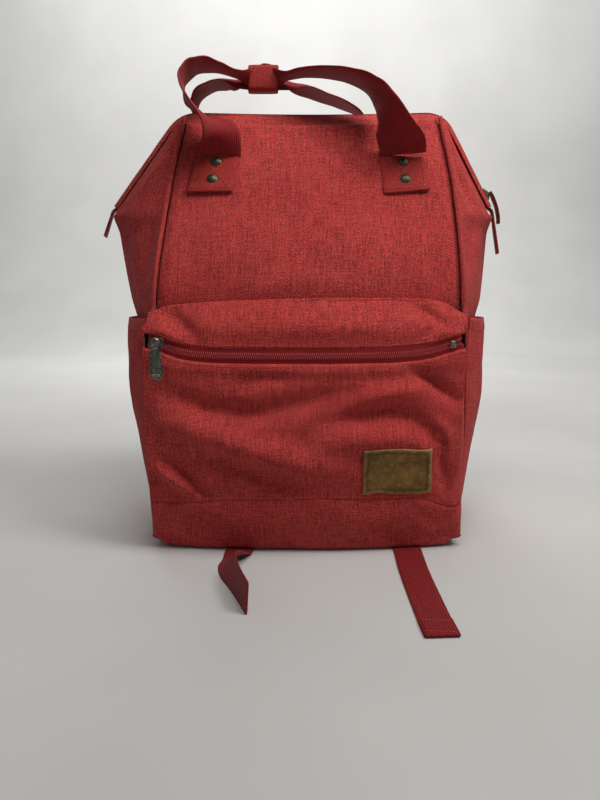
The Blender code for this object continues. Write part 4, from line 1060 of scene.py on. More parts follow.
def sideRow(side, z, front, rear, count):
    y = np.linspace(front, rear, count)
    corner = np.where(y < 0, cornerX(side, z, "piping"), side * line["rear"](z))
    t = np.where(y < 0, np.abs(y / front), y / rear)
    x = corner + (ridgeX(side, z) - corner) * (1 - t**1.7)
    return np.stack([x, y, np.full(count, float(z))], axis=1)


sidePocket = {"levels": 70, "columns": 66, "top": 206.0, "hem": 12.0}
for side, word in ((-1, "Left"), (1, "Right")):
    grid = np.array([sideRow(side, z, -78.5, 77.5, 70) for z in np.linspace(8.4, 203, 80)])
    normals = gridNormals(grid, (0, 0, 110))
    edge = np.sin(np.pi * np.linspace(0, 1, 70))[None, :] ** 0.4
    grid = grid + normals * ((0.8 * ripple(grid, 36, 31 + side) - 0.9) * edge)[:, :, None]
    piece = clothSheet("sidePanel" + word, grid, 1.3, canvas, liningCloth, (0, 0, 110))
    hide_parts("side_panel_" + word.lower())
    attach(piece, "bag")

    rows = []
    for z in np.linspace(11, sidePocket["top"], sidePocket["levels"]):
        base = sideRow(side, z, -78.5, 77.5, 90)[6:-6]
        swell = float(line["pocketRidge"](z)) - abs(float(ridgeX(side, z)))
        t = np.abs(base[:, 1]) / 68.0
        off = 1.7 + np.maximum(0.0, swell - 1.7) * (1 - np.minimum(1.0, t) ** 4)
        sag = 3.2 * smoothStep(z, 150, 206) * np.cos(np.pi * base[:, 1] / 150)
        rows.append(base + np.stack([side * off, np.zeros_like(t), -sag], axis=1))
    grid = np.array(rows)
    normals = gridNormals(grid, (0, 0, 110))
    edge = np.sin(np.pi * np.linspace(0, 1, grid.shape[1]))[None, :] ** 0.5
    level = np.linspace(0, 1, sidePocket["levels"])[:, None]
    bagFolds = foldRelief(grid[:, :, 1], grid[:, :, 2], (
        {"line": ((-60, 190), (-40, 150), (-36, 90)), "width": 8, "height": 2.0},
        {"line": ((-20, 196), (0, 140), (10, 80)), "width": 12, "height": -1.8},
        {"line": ((30, 190), (40, 130), (34, 70)), "width": 9, "height": 1.7},
        {"line": ((-64, 40), (-30, 30), (20, 34)), "width": 8, "height": 1.6}))
    lift = (bagFolds + 1.0 * ripple(grid, 40, 41 + side) + 0.3 * ripple(grid, 12, 6)) * edge
    grid = grid + normals * lift[:, :, None]
    hemStart = 1 - sidePocket["hem"] / 195
    hem = smoothStep(level, hemStart, hemStart + 0.012) * np.ones((1, grid.shape[1]))
    grid = grid + normals * (0.7 * hem)[:, :, None]
    piece = clothSheet("sidePocket" + word, grid, 1.6, canvas, paintedShadeCanvas, (0, 0, 110))
    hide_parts("side_pocket_" + word.lower())
    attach(piece, "bag")
    seamStitches("sidePocketStitch" + word, grid, range(2, grid.shape[1] - 2), -10.4, "bag")
print("walls ready")


# ---- base ----------------------------------------------------------------

base = {"across": 150, "channel": 2.3}


def baseColumn(share):
    # one line of the base, from its front seam down, under and up the back
    x0 = float(-share * cornerX(-1, 46.0, "seam") if share < 0 else share * cornerX(1, 46.0, "seam"))
    front = []
    for t in np.linspace(0, 1, 26):
        z = 8.5 + (float(baseSeamHeight(x0)) + 3.0 - 8.5) * (1 - t)
        left, right = cornerX(-1, z, "seam"), cornerX(1, z, "seam")
        x = -share * left if share < 0 else share * right
        front.append((float(x), float(pocketFace(np.array(x), z)), z))
    x, y, z = front[-1]
    out = list(front)
    for angle in np.linspace(0, 90, 9)[1:]:
        a = math.radians(angle)
        out.append((x, y + 8.2 * (1 - math.cos(a)), z - (z - 0.3) * math.sin(a)))
    yy = out[-1][1]
    for t in np.linspace(0, 1, 24)[1:]:
        px = x + (share * 131 - x) * min(1, t * 2)
        out.append((px, yy + (73.5 - yy) * t, 0.3))
    for angle in np.linspace(0, 90, 7)[1:]:
        a = math.radians(angle)
        rise = 1 - math.cos(a)
        out.append((share * 131 + share * 8 * rise, 73.5 + 8.3 * math.sin(a), 0.3 + 8.3 * rise))
    return out


shares = np.linspace(-1, 1, base["across"])
grid = np.array([baseColumn(s) for s in shares]).transpose(1, 0, 2)
rim = smoothStep(np.abs(shares), 0.93, 1.0)[None, :]
low = 1 - smoothStep(grid[:, :, 2], 0.4, 9.0)
grid[:, :, 2] += 7.5 * (rim**2) * low
returns = []
for side in (-1, 1):
    edge = grid[:, 0 if side < 0 else -1]
    far = edge.copy()
    far[:, 0] = side * 139.9
    far[:, 1] = np.maximum(edge[:, 1], -79.5)
    steps = []
    for u in np.linspace(0, 1, 8)[1:]:
        step = edge.copy()
        step[:, 0] = edge[:, 0] + (far[:, 0] - edge[:, 0]) * math.sin(u * math.pi / 2)
        step[:, 1] = edge[:, 1] + (far[:, 1] - edge[:, 1]) * (1 - math.cos(u * math.pi / 2))
        step[:, 2] = edge[:, 2] + (1 - smoothStep(edge[:, 2], 0, 14)) * 2.0 * u
        steps.append(step)
    returns.append(np.array(steps))
grid = np.concatenate([returns[0][::-1].transpose(1, 0, 2), grid, returns[1].transpose(1, 0, 2)], axis=1)
normals = gridNormals(grid, (0, 0, 40))
front = smoothStep(-grid[:, :, 1], 60, 84)
relief = foldRelief(grid[:, :, 0], grid[:, :, 2], (
    {"line": ((-100, 44), (-94, 36), (-92, 26)), "width": 5, "height": -1.8},
    {"line": ((-70, 30), (0, 27), (70, 30)), "width": 14, "height": 1.6},
    {"line": ((-128, 26), (-112, 22), (-98, 15)), "width": 6, "height": 1.8},
    {"line": ((96, 38), (110, 30), (122, 28)), "width": 6, "height": -1.5}))
top = smoothStep(grid[:, :, 2], baseSeamHeight(grid[:, :, 0]) + 0.8, baseSeamHeight(grid[:, :, 0]) - 1.6)
lift = (relief * top + 0.7 * ripple(grid, 34, 51) + 0.25 * ripple(grid, 11, 52)) * front
lift = lift - 1.9 * (1 - top) * front
grid = grid + normals * lift[:, :, None]
grid[:, :, 2] = np.maximum(grid[:, :, 2], 0.25)
under = 1 - smoothStep(grid[:, :, 2], 0.3, 6.0)
for centre in (-60.0, 90.0):
    strip = 1 - smoothStep(np.abs(grid[:, :, 0] - centre), 13.4, 17.5)
    grid[:, :, 2] = np.maximum(grid[:, :, 2], base["channel"] * strip)
piece = clothSheet("basePanel", grid, 1.5, canvas, paintedShadeCanvas, (0, 0, 40))
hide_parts("base_panel")
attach(piece, "bag")
print("base ready")


# ---- mouth ---------------------------------------------------------------

def mouthLine(count=150):
    left, leftTop = np.array((-180.0, 0, 306)), np.array((-116.0, 0, 388))
    rightTop, right = np.array((126.0, 0, 388)), np.array((173.0, 0, 306))

    def corner(before, at, after, cut=17.0):
        start = at + (before - at) / np.linalg.norm(before - at) * cut
        end = at + (after - at) / np.linalg.norm(after - at) * cut
        return [start * (1 - t) ** 2 + at * 2 * t * (1 - t) + end * t**2 for t in np.linspace(0, 1, 9)]
    points = [left] + corner(left, leftTop, rightTop) + corner(leftTop, rightTop, right) + [right]
    points = np.array(points)
    marks = np.concatenate([[0], np.cumsum(np.linalg.norm(points[1:] - points[:-1], axis=1))])
    places = np.linspace(0, marks[-1], count)
    even = np.stack([np.interp(places, marks, points[:, i]) for i in range(3)], axis=1)
    along = np.gradient(even, axis=0)
    along /= np.linalg.norm(along, axis=1, keepdims=True)
    outward = np.stack([-along[:, 2], np.zeros(count), along[:, 0]], axis=1)
    level = np.clip((np.abs(along[:, 0]) - 0.62) / 0.38, 0, 1)
    sagging = -1.6 * np.sin(np.pi * np.clip((even[:, 0] + 100) / 210, 0, 1)) * level
    even[:, 2] += sagging
    return even, outward, level


mouthPoints, mouthOutward, mouthLevel = mouthLine()


def mouthSweep(name, face, profile, material, thick, inside=None):
    # an open profile of (distance from the zip, height) carried round the mouth as a sheet
    rows = []
    for point, outward, level in zip(mouthPoints, mouthOutward, mouthLevel):
        rows.append([point + np.array((0, face * a, 0)) + outward * h for a, h in profile(level)])
    grid = np.array(rows).transpose(1, 0, 2)
    if name.endswith("Casing"):
        normals = gridNormals(grid, (0, 0, 300))
        grid = grid + normals * (0.5 * ripple(grid, 22, 61 + face) + 0.25 * ripple(grid, 8, 62))[:, :, None]
    return clothSheet(name, grid, thick, material, inside, (0, 0, 300)), grid


def casingShape(level):
    reach = 6.4 + 8.2 * level
    fall = 0.92 * reach
    out = []
    for t in np.linspace(0, 1, 14):
        bow = 1.3 * math.sin(math.pi * t)
        height = 0.5 - fall * t + bow * 0.7 + 0.9 * float(smoothStep(t, 0.8, 1))
        out.append((6.3 + (reach + 1.0) * t + bow * 0.7, height))
    return out


def tapeShape(level):
    return [(a, 0.75 - 0.25 * abs(a - 3.5) / 3.5) for a in np.linspace(0.9, 7.4, 6)]


for face, word in ((-1, "Front"), (1, "Rear")):
    jaw = word.lower() + "_jaw"
    casing, casingGrid = mouthSweep(word.lower() + "Casing", face, casingShape, canvas, 1.2, liningCloth)
    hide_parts(word.lower() + "_casing")
    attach(casing, jaw)
    tape = mouthSweep("mainZipTape" + word, face, tapeShape, zipTape, 0.7)[0]
    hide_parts("main_zip_tape_" + word.lower())
    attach(tape, jaw)
    path = mouthPoints + np.array((0, face * 0.35, 0)) + mouthOutward * 0.7
    sideways = np.tile((0.0, float(face), 0.0), (len(path), 1))
    row = coilTeeth("mainZipTeeth" + word, path, sideways, mouthOutward,
                    {"pitch": 1.45, "toothWide": 1.9}, False)
    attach(row, jaw)
    stitchPath = (casingGrid[2] + casingGrid[3]) / 2
    outs = gridNormals(casingGrid, (0, 0, 300))[2]
    row = stitchRow("casingStitch" + word, stitchPath + outs * 0.1, outs, thread, 3.0, 2.2, 0.3)
    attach(row, jaw)
    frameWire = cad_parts[word.lower() + "_frame_wire"]
    frameWire.data.materials.clear()
    frameWire.data.materials.append(springSteel)
print("mouth ready")


# ---- handles -------------------------------------------------------------

def panelFace(face, x, z):
    if face < 0:
        return float(upperFace(np.array(float(x)), z))
    half = float(line["rear"](min(z, 380))) - 1.0
    return float(rearDepth(z)) + 1.5 * (1 - (x / half) ** 2)


def turned(name, centre, axis, profile, material, sides=28):
    # a lathed piece: (radius, rise) stations about an axis through its centre
    axis = np.array(axis, float)
    axis /= np.linalg.norm(axis)
    guide = np.array((1.0, 0, 0)) if abs(axis[0]) < 0.9 else np.array((0, 1.0, 0))
    first = np.cross(axis, guide)
    first /= np.linalg.norm(first)
    second = np.cross(axis, first)
    points = []
    for radius, rise in profile:
        for k in range(sides):
            a = 2 * math.pi * k / sides
            spoke = first * math.cos(a) + second * math.sin(a)
            points.append(np.array(centre) + radius * spoke + axis * rise)
    faces = []
    for i in range(len(profile) - 1):
        for k in range(sides):
            n = (k + 1) % sides
            faces.append((i * sides + k, i * sides + n, (i + 1) * sides + n, (i + 1) * sides + k))
    faces.append(tuple(range(sides - 1, -1, -1)))
    faces.append(tuple(range((len(profile) - 1) * sides, len(profile) * sides)))
    return meshPiece(name, np.array(points) * mm, faces, [material])


rivetShape = ((4.4, 0.0), (4.6, 0.25), (4.5, 0.6), (4.1, 0.85), (3.7, 0.9), (3.4, 1.15), (2.6, 1.6),
              (1.5, 1.88), (0.3, 1.97))
patch = {
    "low": 313.0, "high": 349.5, "wide": 40.5, "middle": {-1: -77.0, 1: 82.5},
    "lean": {-1: -0.2, 1: 0.1}, "tilt": {-1: 0.0, 1: 0.1},
}


def patchX(side, x, z):
    # the stitched ends lean outwards a little towards their lower edge
    return x + patch["lean"][side] * (patch["high"] - z)


def patchZ(side, x, z):
    return z + patch["tilt"][side] * (x - patch["middle"][side]) * (patch["high"] - z) / 36.0
def patchPlace(face, side, x, z, away):
    return patchX(side, x, z), panelFace(face, x, z) + face * away, patchZ(side, x, z)


for face, word in ((-1, "front"), (1, "rear")):
    for side, hand in ((-1, "left"), (1, "right")):
        middle = patch["middle"][side]
        xs = np.linspace(middle - patch["wide"] / 2, middle + patch["wide"] / 2, 25)
        rows = []
        for z in np.linspace(patch["low"], patch["high"], 23):
            hemmed = 0.7 * float(1 - smoothStep(z, patch["low"] + 6.5, patch["low"] + 7.5))
            away = 2.5 + hemmed - 0.8 * np.abs((xs - middle) / (patch["wide"] / 2)) ** 12
            rows.append([patchPlace(face, side, x, z, a) for x, a in zip(xs, away)])
        grid = np.array(rows)
        grid[:, :, 1] += 0.3 * ripple(grid, 14, 70 + side)
        label = word + "_" + hand
        piece = clothSheet("patch_" + label, grid, 1.5, patchWebbing)
        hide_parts("handle_patch_" + label)
        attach(piece, word + "_jaw")
        box = [(-16.5, 316.5), (16.5, 316.5), (16.5, 346.5), (-16.5, 346.5), (-16.5, 316.5), (16.5, 346.5)]
        for k, (a, b) in enumerate([(box[0], box[1]), (box[1], box[2]), (box[2], box[3]), (box[3], box[0]),
                                    (box[0], box[2]), (box[1], box[3]), ((-18.5, 321.2), (18.5, 321.2))]):
            path = []
            for t in np.linspace(0, 1, 12):
                x, z = middle + a[0] + (b[0] - a[0]) * t, a[1] + (b[1] - a[1]) * t
                path.append(patchPlace(face, side, x, z, 2.6 + 0.7 * (z < 321)))
            outs = [(0, face, 0.2)] * len(path)
            row = stitchRow("patchStitch_%s_%d" % (label, k), path, outs, thread, 2.6, 2.1, 0.4)
            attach(row, word + "_jaw")
        slope = (panelFace(face, middle, 345) - panelFace(face, middle, 320)) / 25.0
        for level, z in (("upper", 339.5), ("lower", 324.0)):
            x = patchX(side, middle, z)
            foot = (x, panelFace(face, x, z) + face * 2.6, z)
            out = (0, face, -face * slope)
            piece = turned("rivet_%s_%s" % (label, level), foot, out, rivetShape, rivetMetal)
            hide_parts("rivet_%s_%s" % (label, level))
            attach(piece, word + "_jaw")

handles = {
    "front": (
        ((83.5, -43.0, 346), (1, 0, 0), 40), ((82.5, -47.5, 352), (1, -0.05, 0), 40),
        ((77.5, -54, 359), (0.9, -0.43, 0), 40),
        ((71.5, -59, 368), (0.62, -0.78, 0), 40), ((65.5, -57, 380), (0.36, -0.93, 0), 39),
        ((58.5, -50, 392), (0.2, -0.98, 0), 38, 0.4), ((48.5, -42.5, 403), (0.05, -1, 0), 38, 0.8),
        ((34, -35.5, 410.5), (0, -1, 0), 37, 1.2), ((17, -29, 414.5), (0, -1, -0.03), 35, 2.0),
        ((0, -22, 416.5), (0, -0.99, -0.06), 30, 2.8), ((-13, -14.5, 417), (0, -0.98, -0.1), 24, 3.6),
        ((-21, -10.5, 417.4), (0, -0.97, 0.1), 20, 3.6),
        ((-29, -7.5, 417.5), (0, -0.6, 0.7), 17, 2.6), ((-39.5, -6.3, 417.5), (0, 0, 1), 16.5, 1.8),
        ((-50, -7.5, 417.6), (0, -0.6, 0.7), 17, 2.6), ((-58, -10.5, 418), (0, -0.97, 0.1), 20, 3.6),
        ((-68, -16, 419), (0, -0.98, -0.1), 26, 3.2), ((-81, -24, 420), (0, -1, -0.03), 33, 2.0),
        ((-93, -31.5, 418.5), (0, -1, 0), 38, 1.2), ((-103, -38.5, 411), (0.05, -1, 0), 40, 0.6),
        ((-105.5, -45, 400), (0.1, -0.99, 0), 40), ((-101, -51, 389.5), (0.06, -1, 0), 40),
        ((-92.5, -56.5, 379.5), (-0.05, -1, 0), 40), ((-82.5, -60, 370), (-0.33, -0.94, 0), 40),
        ((-76.5, -57, 360.5), (-0.72, -0.69, 0), 40), ((-76.5, -50, 353), (-0.96, -0.2, 0), 40),
        ((-77.5, -44, 346), (-1, 0, 0), 40)),
    "rear": (
        ((84, 45, 346), (1, 0, 0), 40), ((84, 48.5, 353), (1, 0, 0), 40), ((82, 52, 361), (1, 0, 0), 40),
        ((75, 54, 373), (0.9, 0.4, 0.1), 40), ((66, 52, 387), (0.55, 0.83, 0), 40),
        ((52, 46, 400), (0.2, 0.98, 0), 40), ((34, 38, 408), (0.1, 1, 0), 40, 0.8),
        ((14, 28, 413), (0, 1, 0), 34, 2.2), ((-7, 13, 416.4), (0, 0.98, 0), 26, 3.2),
        ((-22, 3.6, 417.4), (0, 0.6, 0.7), 18, 1.6), ((-40, -1.6, 417.5), (0, 0, 1), 16.5, 0.6),
        ((-56, 2.0, 417.6), (0, 0.6, 0.7), 18, 1.6), ((-70, 9, 419), (0, 0.98, 0), 26, 3.2),
        ((-84, 18, 419.3), (0, 1, 0), 34, 2.0), ((-97, 30, 416.5), (0, 1, 0), 38, 0.8),
        ((-106, 40, 408), (-0.08, 1, 0), 40), ((-107.5, 47, 396), (-0.25, 0.97, 0), 40),
        ((-101, 52, 384), (-0.55, 0.83, 0), 40), ((-91, 54.5, 372), (-0.85, 0.5, 0), 40),
        ((-84, 52, 361), (-1, 0.05, 0), 40), ((-82, 48.5, 353), (-1, 0, 0), 40),
        ((-82, 45, 346), (-1, 0, 0), 40)),
}
for word, face in (("front", -1), ("rear", 1)):
    piece = webStrap(word + "Handle", handles[word], 1.7, webbing, 150, 13)
    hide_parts(word + "_handle")
    depth = 0.0475 if face < 0 else 0.050
    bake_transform(piece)


def wrapRing(name, centre, halfY, halfZ, radius, low, high, thick, material):
    # a closed band of webbing round both handles, its edges rounded
    loop = []
    for sy, sz, start in ((1, 1, 0), (-1, 1, 90), (-1, -1, 180), (1, -1, 270)):
        for turn in np.linspace(0, 90, 8):
            a = math.radians(start + turn)
            outY, outZ = math.cos(a), math.sin(a)
            y, z = sy * (halfY - radius) + radius * outY, sz * (halfZ - radius) + radius * outZ
            loop.append((y, z, outY, outZ))
    steps = [math.hypot(b[0] - a[0], b[1] - a[1]) for a, b in zip(loop, loop[1:])]
    length = np.concatenate([[0], np.cumsum(steps)])
    section = []
    for t in np.linspace(0, 1, 12):
        edge = 1 - 0.5 * abs(2 * t - 1) ** 8
        section.append((low + (high - low) * t, thick / 2 * edge))
    section += [(x, -rise) for x, rise in reversed(section)]
    points, uv, faces = [], [], []
    for k, (y, z, ny, nz) in enumerate(loop):
        for x, rise in section:
            bulge = 0.5 * math.sin(math.pi * (x - low) / (high - low))
            swell = rise + bulge * (rise > 0)
            points.append((x + 0.5 * nz, centre[0] + y + ny * swell, centre[1] + z + nz * rise))
            uv.append(((x - low) * mm, length[k] * mm))
    size, turns = len(section), len(loop)
    for k in range(turns):
        for j in range(size):
            a, b, c, d = ringQuad(k * size, ((k + 1) % turns) * size, j, size)
            faces.append((a, d, c, b))
    return meshPiece(name, np.array(points) * mm, faces, [material], uv)


wrap = wrapRing("handleWrap", (-4.1, 417.5), 6.6, 10.6, 3.3, -52.6, -26.0, 1.4, patchWebbing)
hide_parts("handle_wrap")
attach(wrap, "front_grip")
for k, x in enumerate((-50.4, -28.6)):
    path = [(x, -11.5, z) for z in np.linspace(409.5, 425.5, 12)]
    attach(stitchRow("wrapStitch%d" % k, path, [(0, -1, 0)] * 12, thread, 2.8, 2.1, 0.28), "front_grip")
snapShape = ((5.0, 0), (5.3, 0.25), (5.2, 0.75), (4.7, 1.0), (4.2, 0.8), (3.9, 0.95), (3.0, 1.4), (1.6, 1.65),
             (0.3, 1.7))
snap = turned("wrapSnap", (-37, -4.1, 428.9), (0, 0, 1), snapShape, gunmetal)
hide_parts("wrap_snap")
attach(snap, "front_grip")
print("handles ready")


# ---- label ---------------------------------------------------------------

label = {"left": 47.5, "right": 106.5, "low": 57.5, "high": 98.5, "off": 1.7}
rows = []
for t in np.linspace(0, 1, 34):
    xs = np.linspace(label["left"], label["right"], 46)
    wave = 1.5 * np.exp(-(((xs - 64) / 9) ** 2)) - 0.8 * np.exp(-(((xs - 84) / 9) ** 2))
    low = label["low"] + wave + 0.6 * np.sin(xs / 4.1)
    z = low + (label["high"] + 0.7 * np.sin(xs / 9.0) - low) * t
    x = xs + (0.5 - t) * 1.5 * (xs > 100)
    y = pocketFace(x, z) - panelFolds(x, z) - label["off"]
    rows.append(np.stack([x, y, z], axis=1))
grid = np.array(rows)
grid[:, :, 1] -= 0.35 * ripple(grid, 9, 81) + 0.5 * ripple(grid, 26, 82) + 0.4
rim = np.minimum(np.minimum(np.linspace(0, 33, 34)[:, None], np.linspace(33, 0, 34)[:, None]),
                 np.minimum(np.linspace(0, 45, 46)[None, :], np.linspace(45, 0, 46)[None, :]))
grid[:, :, 1] += 0.7 * np.exp(-rim / 0.8) + 0.35 * np.exp(-((rim - 3.2) / 1.0) ** 2)
piece = clothSheet("labelPatch", grid, 1.3, tanLeather)
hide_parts("label_patch")
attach(piece, "bag")
normals = gridNormals(grid, (0, 0, 150))
border = [(3, j) for j in range(3, 43)] + [(i, 42) for i in range(4, 31)]
border += [(30, j) for j in range(41, 2, -1)] + [(i, 3) for i in range(29, 2, -1)]
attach(stitchRow("labelStitch", [grid[a] + normals[a] * 0.1 for a in border], [normals[a] for a in border],
                  darkThread, 2.9, 2.1, 0.36), "bag")


# ---- sliders and pulls ---------------------------------------------------

def hardCopy(name, node, material, bevel, body):
    # a moulded or cast piece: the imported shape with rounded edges
    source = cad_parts[node]
    mesh = source.data.copy()
    mesh.name = name
    mesh.materials.clear()
    mesh.materials.append(material)
    obj = bpy.data.objects.new(name, mesh)
    bpy.context.scene.collection.objects.link(obj)
    weld = obj.modifiers.new("weld", "WELD")
    weld.merge_threshold = 0.00001
    rounding = obj.modifiers.new("round", "BEVEL")
    rounding.width = bevel * mm
    rounding.segments = 3
    rounding.limit_method = "ANGLE"
    rounding.angle_limit = math.radians(28)
    rounding.use_clamp_overlap = True
    depsgraph = bpy.context.evaluated_depsgraph_get()
    done = bpy.data.meshes.new_from_object(obj.evaluated_get(depsgraph))
    obj.modifiers.clear()
    obj.data = done
    done.polygons.foreach_set("use_smooth", [True] * len(done.polygons))
    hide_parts(node)
    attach(obj, body)
    return obj


def outlinePrism(name, outline, place, first, second, third, low, high, material, bevel=0.45):
    # an outline extruded along its third direction, with rounded edges
    place, first, second, third = (np.array(v, float) for v in (place, first, second, third))
    points = [place + first * a + second * b + third * level for level in (low, high) for a, b in outline]
    size = len(outline)
    faces = [tuple(range(size - 1, -1, -1)), tuple(range(size, 2 * size))]
    faces += [(j, (j + 1) % size, size + (j + 1) % size, size + j) for j in range(size)]
    obj = meshPiece(name, np.array(points) * mm, faces, [material], None, None, True)
    shape = obj.modifiers.new("round", "BEVEL")
    shape.width = bevel * mm
    shape.segments = 3
    shape.limit_method = "ANGLE"
    shape.angle_limit = math.radians(40)
    depsgraph = bpy.context.evaluated_depsgraph_get()
    done = bpy.data.meshes.new_from_object(obj.evaluated_get(depsgraph))
    obj.modifiers.clear()
    obj.data = done
    return obj


def paddle(length, wide):
    outline = [(-2.6, 1.2), (-2.9, -1.2), (-wide * 0.78, -5.0), (-wide, -length + 9.0)]
    for turn in np.linspace(180, 360, 11):
        a = math.radians(turn)
        outline.append((wide * math.cos(a), -length + wide * 0.95 + wide * 0.95 * math.sin(a)))
    return outline + [(wide, -length + 9.0), (wide * 0.78, -5.0), (2.9, -1.2), (2.6, 1.2)]


hardCopy("pocketSlider", "pocket_zip_slider", gunmetal, 0.6, "pocket_slider")
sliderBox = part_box("pocket_zip_slider")
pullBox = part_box("pocket_zip_pull")
sliderX = (sliderBox[0][0] + sliderBox[1][0]) / 2 / mm
pullTop = pullBox[1][2] / mm
pullY = (pullBox[0][1] + pullBox[1][1]) / 2 / mm
dome = turned("pocketSliderDome", (sliderX + 0.4, pullY + 2.0, 188.6), (0, -1, 0.12),
              ((3.1, 0), (3.5, 0.5), (3.4, 1.6), (2.7, 2.6), (1.5, 3.2), (0.3, 3.4)), gunmetal)
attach(dome, "pocket_slider")
facing = ((1, 0, 0), (0, 0, 1), (0, -1, 0))     # across, up and out of a flat piece on the bag's front
pull = outlinePrism("pocketPull", paddle(29.0, 5.4), (sliderX, pullY, pullTop - 0.9), *facing,
                    -1.0, 0.7, gunmetal, 0.5)
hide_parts("pocket_zip_pull")
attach(pull, "pocket_pull")
face = outlinePrism("pocketPullFace", [(a * 0.68, b * 0.74 - 2.2) for a, b in paddle(26.0, 5.4)],
                    (sliderX, pullY, pullTop - 1.4), *facing, 0.4, 1.25, gunmetal, 0.4)
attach(face, "pocket_pull")
bar = outlinePrism("pocketPullBar", [(-3.1, -25.6), (3.1, -25.6), (3.3, -23.6), (-3.3, -23.6)],
                   (sliderX, pullY, pullTop - 0.9), *facing, 0.4, 1.35, gunmetal, 0.5)
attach(bar, "pocket_pull")
stopX = 121.0
y, z = zipSurface(np.array((stopX,)))
stop = outlinePrism("zipEndStop", [(-2.2, -3.0), (2.2, -2.6), (2.4, 3.0), (-2.0, 3.2)],
                    (stopX, float(y[0]) - 1.6, float(z[0])), *facing, -1.2, 0.8, gunmetal, 0.5)
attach(stop, "bag")
hardCopy("mainSlider", "main_zip_slider", gunmetal, 0.6, "main_slider")
climb = np.array((-0.4973, 0, 0.8676))
outward = np.array((0.8676, 0, 0.4973))
eye = np.array((173.0, 0, 306.0)) + climb * 12 + outward * (1.9 + 5.2)
pullStations = (((eye[0] + 0.3, 0, eye[2] + 0.5), (0, 1, 0), 7), ((176.5, 0, 315), (0, 1, 0), 8.4, 0, 0.6),
                ((180.4, 0, 306), (0, 1, 0), 9.2, 0, 0.2), ((182.6, 0, 297), (0, 1, 0), 9.4),
                ((183.2, 0, 291), (0, 1, 0), 9.0))
mainPull = webStrap("mainPull", pullStations, 1.7, tailWebbing, 40, 7)
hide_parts("main_zip_pull")
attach(mainPull, "main_pull")
zipTab = {
    # how far out of the hinge corner, y, height and width of each station
    -1: ((-2.2, 0, 305.6, 13), (3.2, -0.5, 302, 15), (5.6, -1, 296, 19), (8.4, -2, 288, 22), (11.5, -3, 279, 24)),
    1: ((-1.0, 0, 305.6, 13), (3.0, -0.5, 302, 15), (4.4, -1, 295, 18), (7, -2, 280, 20), (10, -3, 263, 20)),
}
for side, word in ((-1, "left"), (1, "right")):
    stations = []
    for k, (out, y, z, wide) in enumerate(zipTab[side]):
        stations.append(((hingeX[side] + side * out, y, z), (0.25 * side, 1, 0), wide, 0.6, 0.3 * (k > 2)))
    tab = webStrap("zipTab" + word, stations, 2.4, tailWebbing, 40, 9)
    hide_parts("zip_tab_" + word)
    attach(tab, "bag")
print("hardware ready")


# ---- straps --------------------------------------------------------------

strap = {"lockX": 98.0, "lockZ": 94.0, "wide": 25.0, "thick": 1.45}
for side, word in ((-1, "left"), (1, "right")):
    lock = side * strap["lockX"]
    tail = -60.0 if side < 0 else 90.0
    path = [((side * 120, 84.4, 14), (0.97, 0, 0.25 * -side)), ((side * 118, 85.5, 24), (0.98, 0, 0.2 * -side)),
            ((side * 108, 97, 60), (1, 0, 0.1 * -side)), ((lock, 100.9, 86), (1, 0, 0))]
    for turn in np.linspace(180, 0, 9):
        a = math.radians(turn)
        path.append(((lock, 104.0 + 3.2 * math.cos(a), 95.2 + 3.0 * math.sin(a)), (1, 0, 0)))
    path += [((lock, 107.4, 84), (1, 0, 0)), ((lock * 0.99, 108.0, 60), (1, 0, 0)),
             ((lock * 0.9 + tail * 0.1, 106, 25), (1, 0, 0)), ((lock * 0.75 + tail * 0.25, 102, 8), (1, 0, 0)),
             ((lock * 0.6 + tail * 0.4, 97, 2.4), (1, 0, 0)), ((lock * 0.2 + tail * 0.8, 92, 0.85), (1, 0, 0)),
             ((tail, 84, 0.8), (1, 0, 0)), ((tail, 40, 0.8), (1, 0, 0)), ((tail, 0, 0.8), (1, 0, 0)),
             ((tail, -50, 0.8), (1, 0, 0)), ((tail, -92, 0.8), (1, 0, 0))]
    if side > 0:
        path += [((x, y, z), (1, 0.06, 0)) for x, y, z in
                 ((88.6, -130, 0.8), (88.8, -170, 0.8), (89.5, -210, 0.8), (90.3, -231, 0.8))]
    else:
        for x, y, z, turn in ((-62, -108, 2.2, 12), (-64.5, -124, 6.5, 32), (-64, -142, 10.5, 58), (-59, -160, 12.2, 76),
                              (-53, -178, 12.6, 86), (-44, -202, 12.7, 90)):
            a = math.radians(turn)
            path.append(((x, y, z), (math.cos(a), 0.2 * math.sin(a), math.sin(a))))
    stations = [(c, d, strap["wide"]) for c, d in path]
    piece = webStrap("strapWebbing" + word, stations, strap["thick"], tailWebbing, 300, 11)
    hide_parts("strap_webbing_" + word)
    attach(piece, "bag")
hem = webStrap("tailHem", [((89.6, -212, 2.2), (1, 0.06, 0), 24.4), ((90.0, -222, 2.25), (1, 0.06, 0), 24.6),
                           ((90.6, -232.6, 2.0), (1, 0.06, 0), 24.4)], 1.4, tailWebbing, 24, 11)
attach(hem, "bag")
for k, y in enumerate((-214.5, -228.5)):
    path = [(90.0 + dx, y + dx * 0.06 * -1, 2.95) for dx in np.linspace(-11, 11, 10)]
    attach(stitchRow("tailStitch%d" % k, path, [(0, 0, 1)] * 10, thread, 2.6, 2.0, 0.3), "bag")


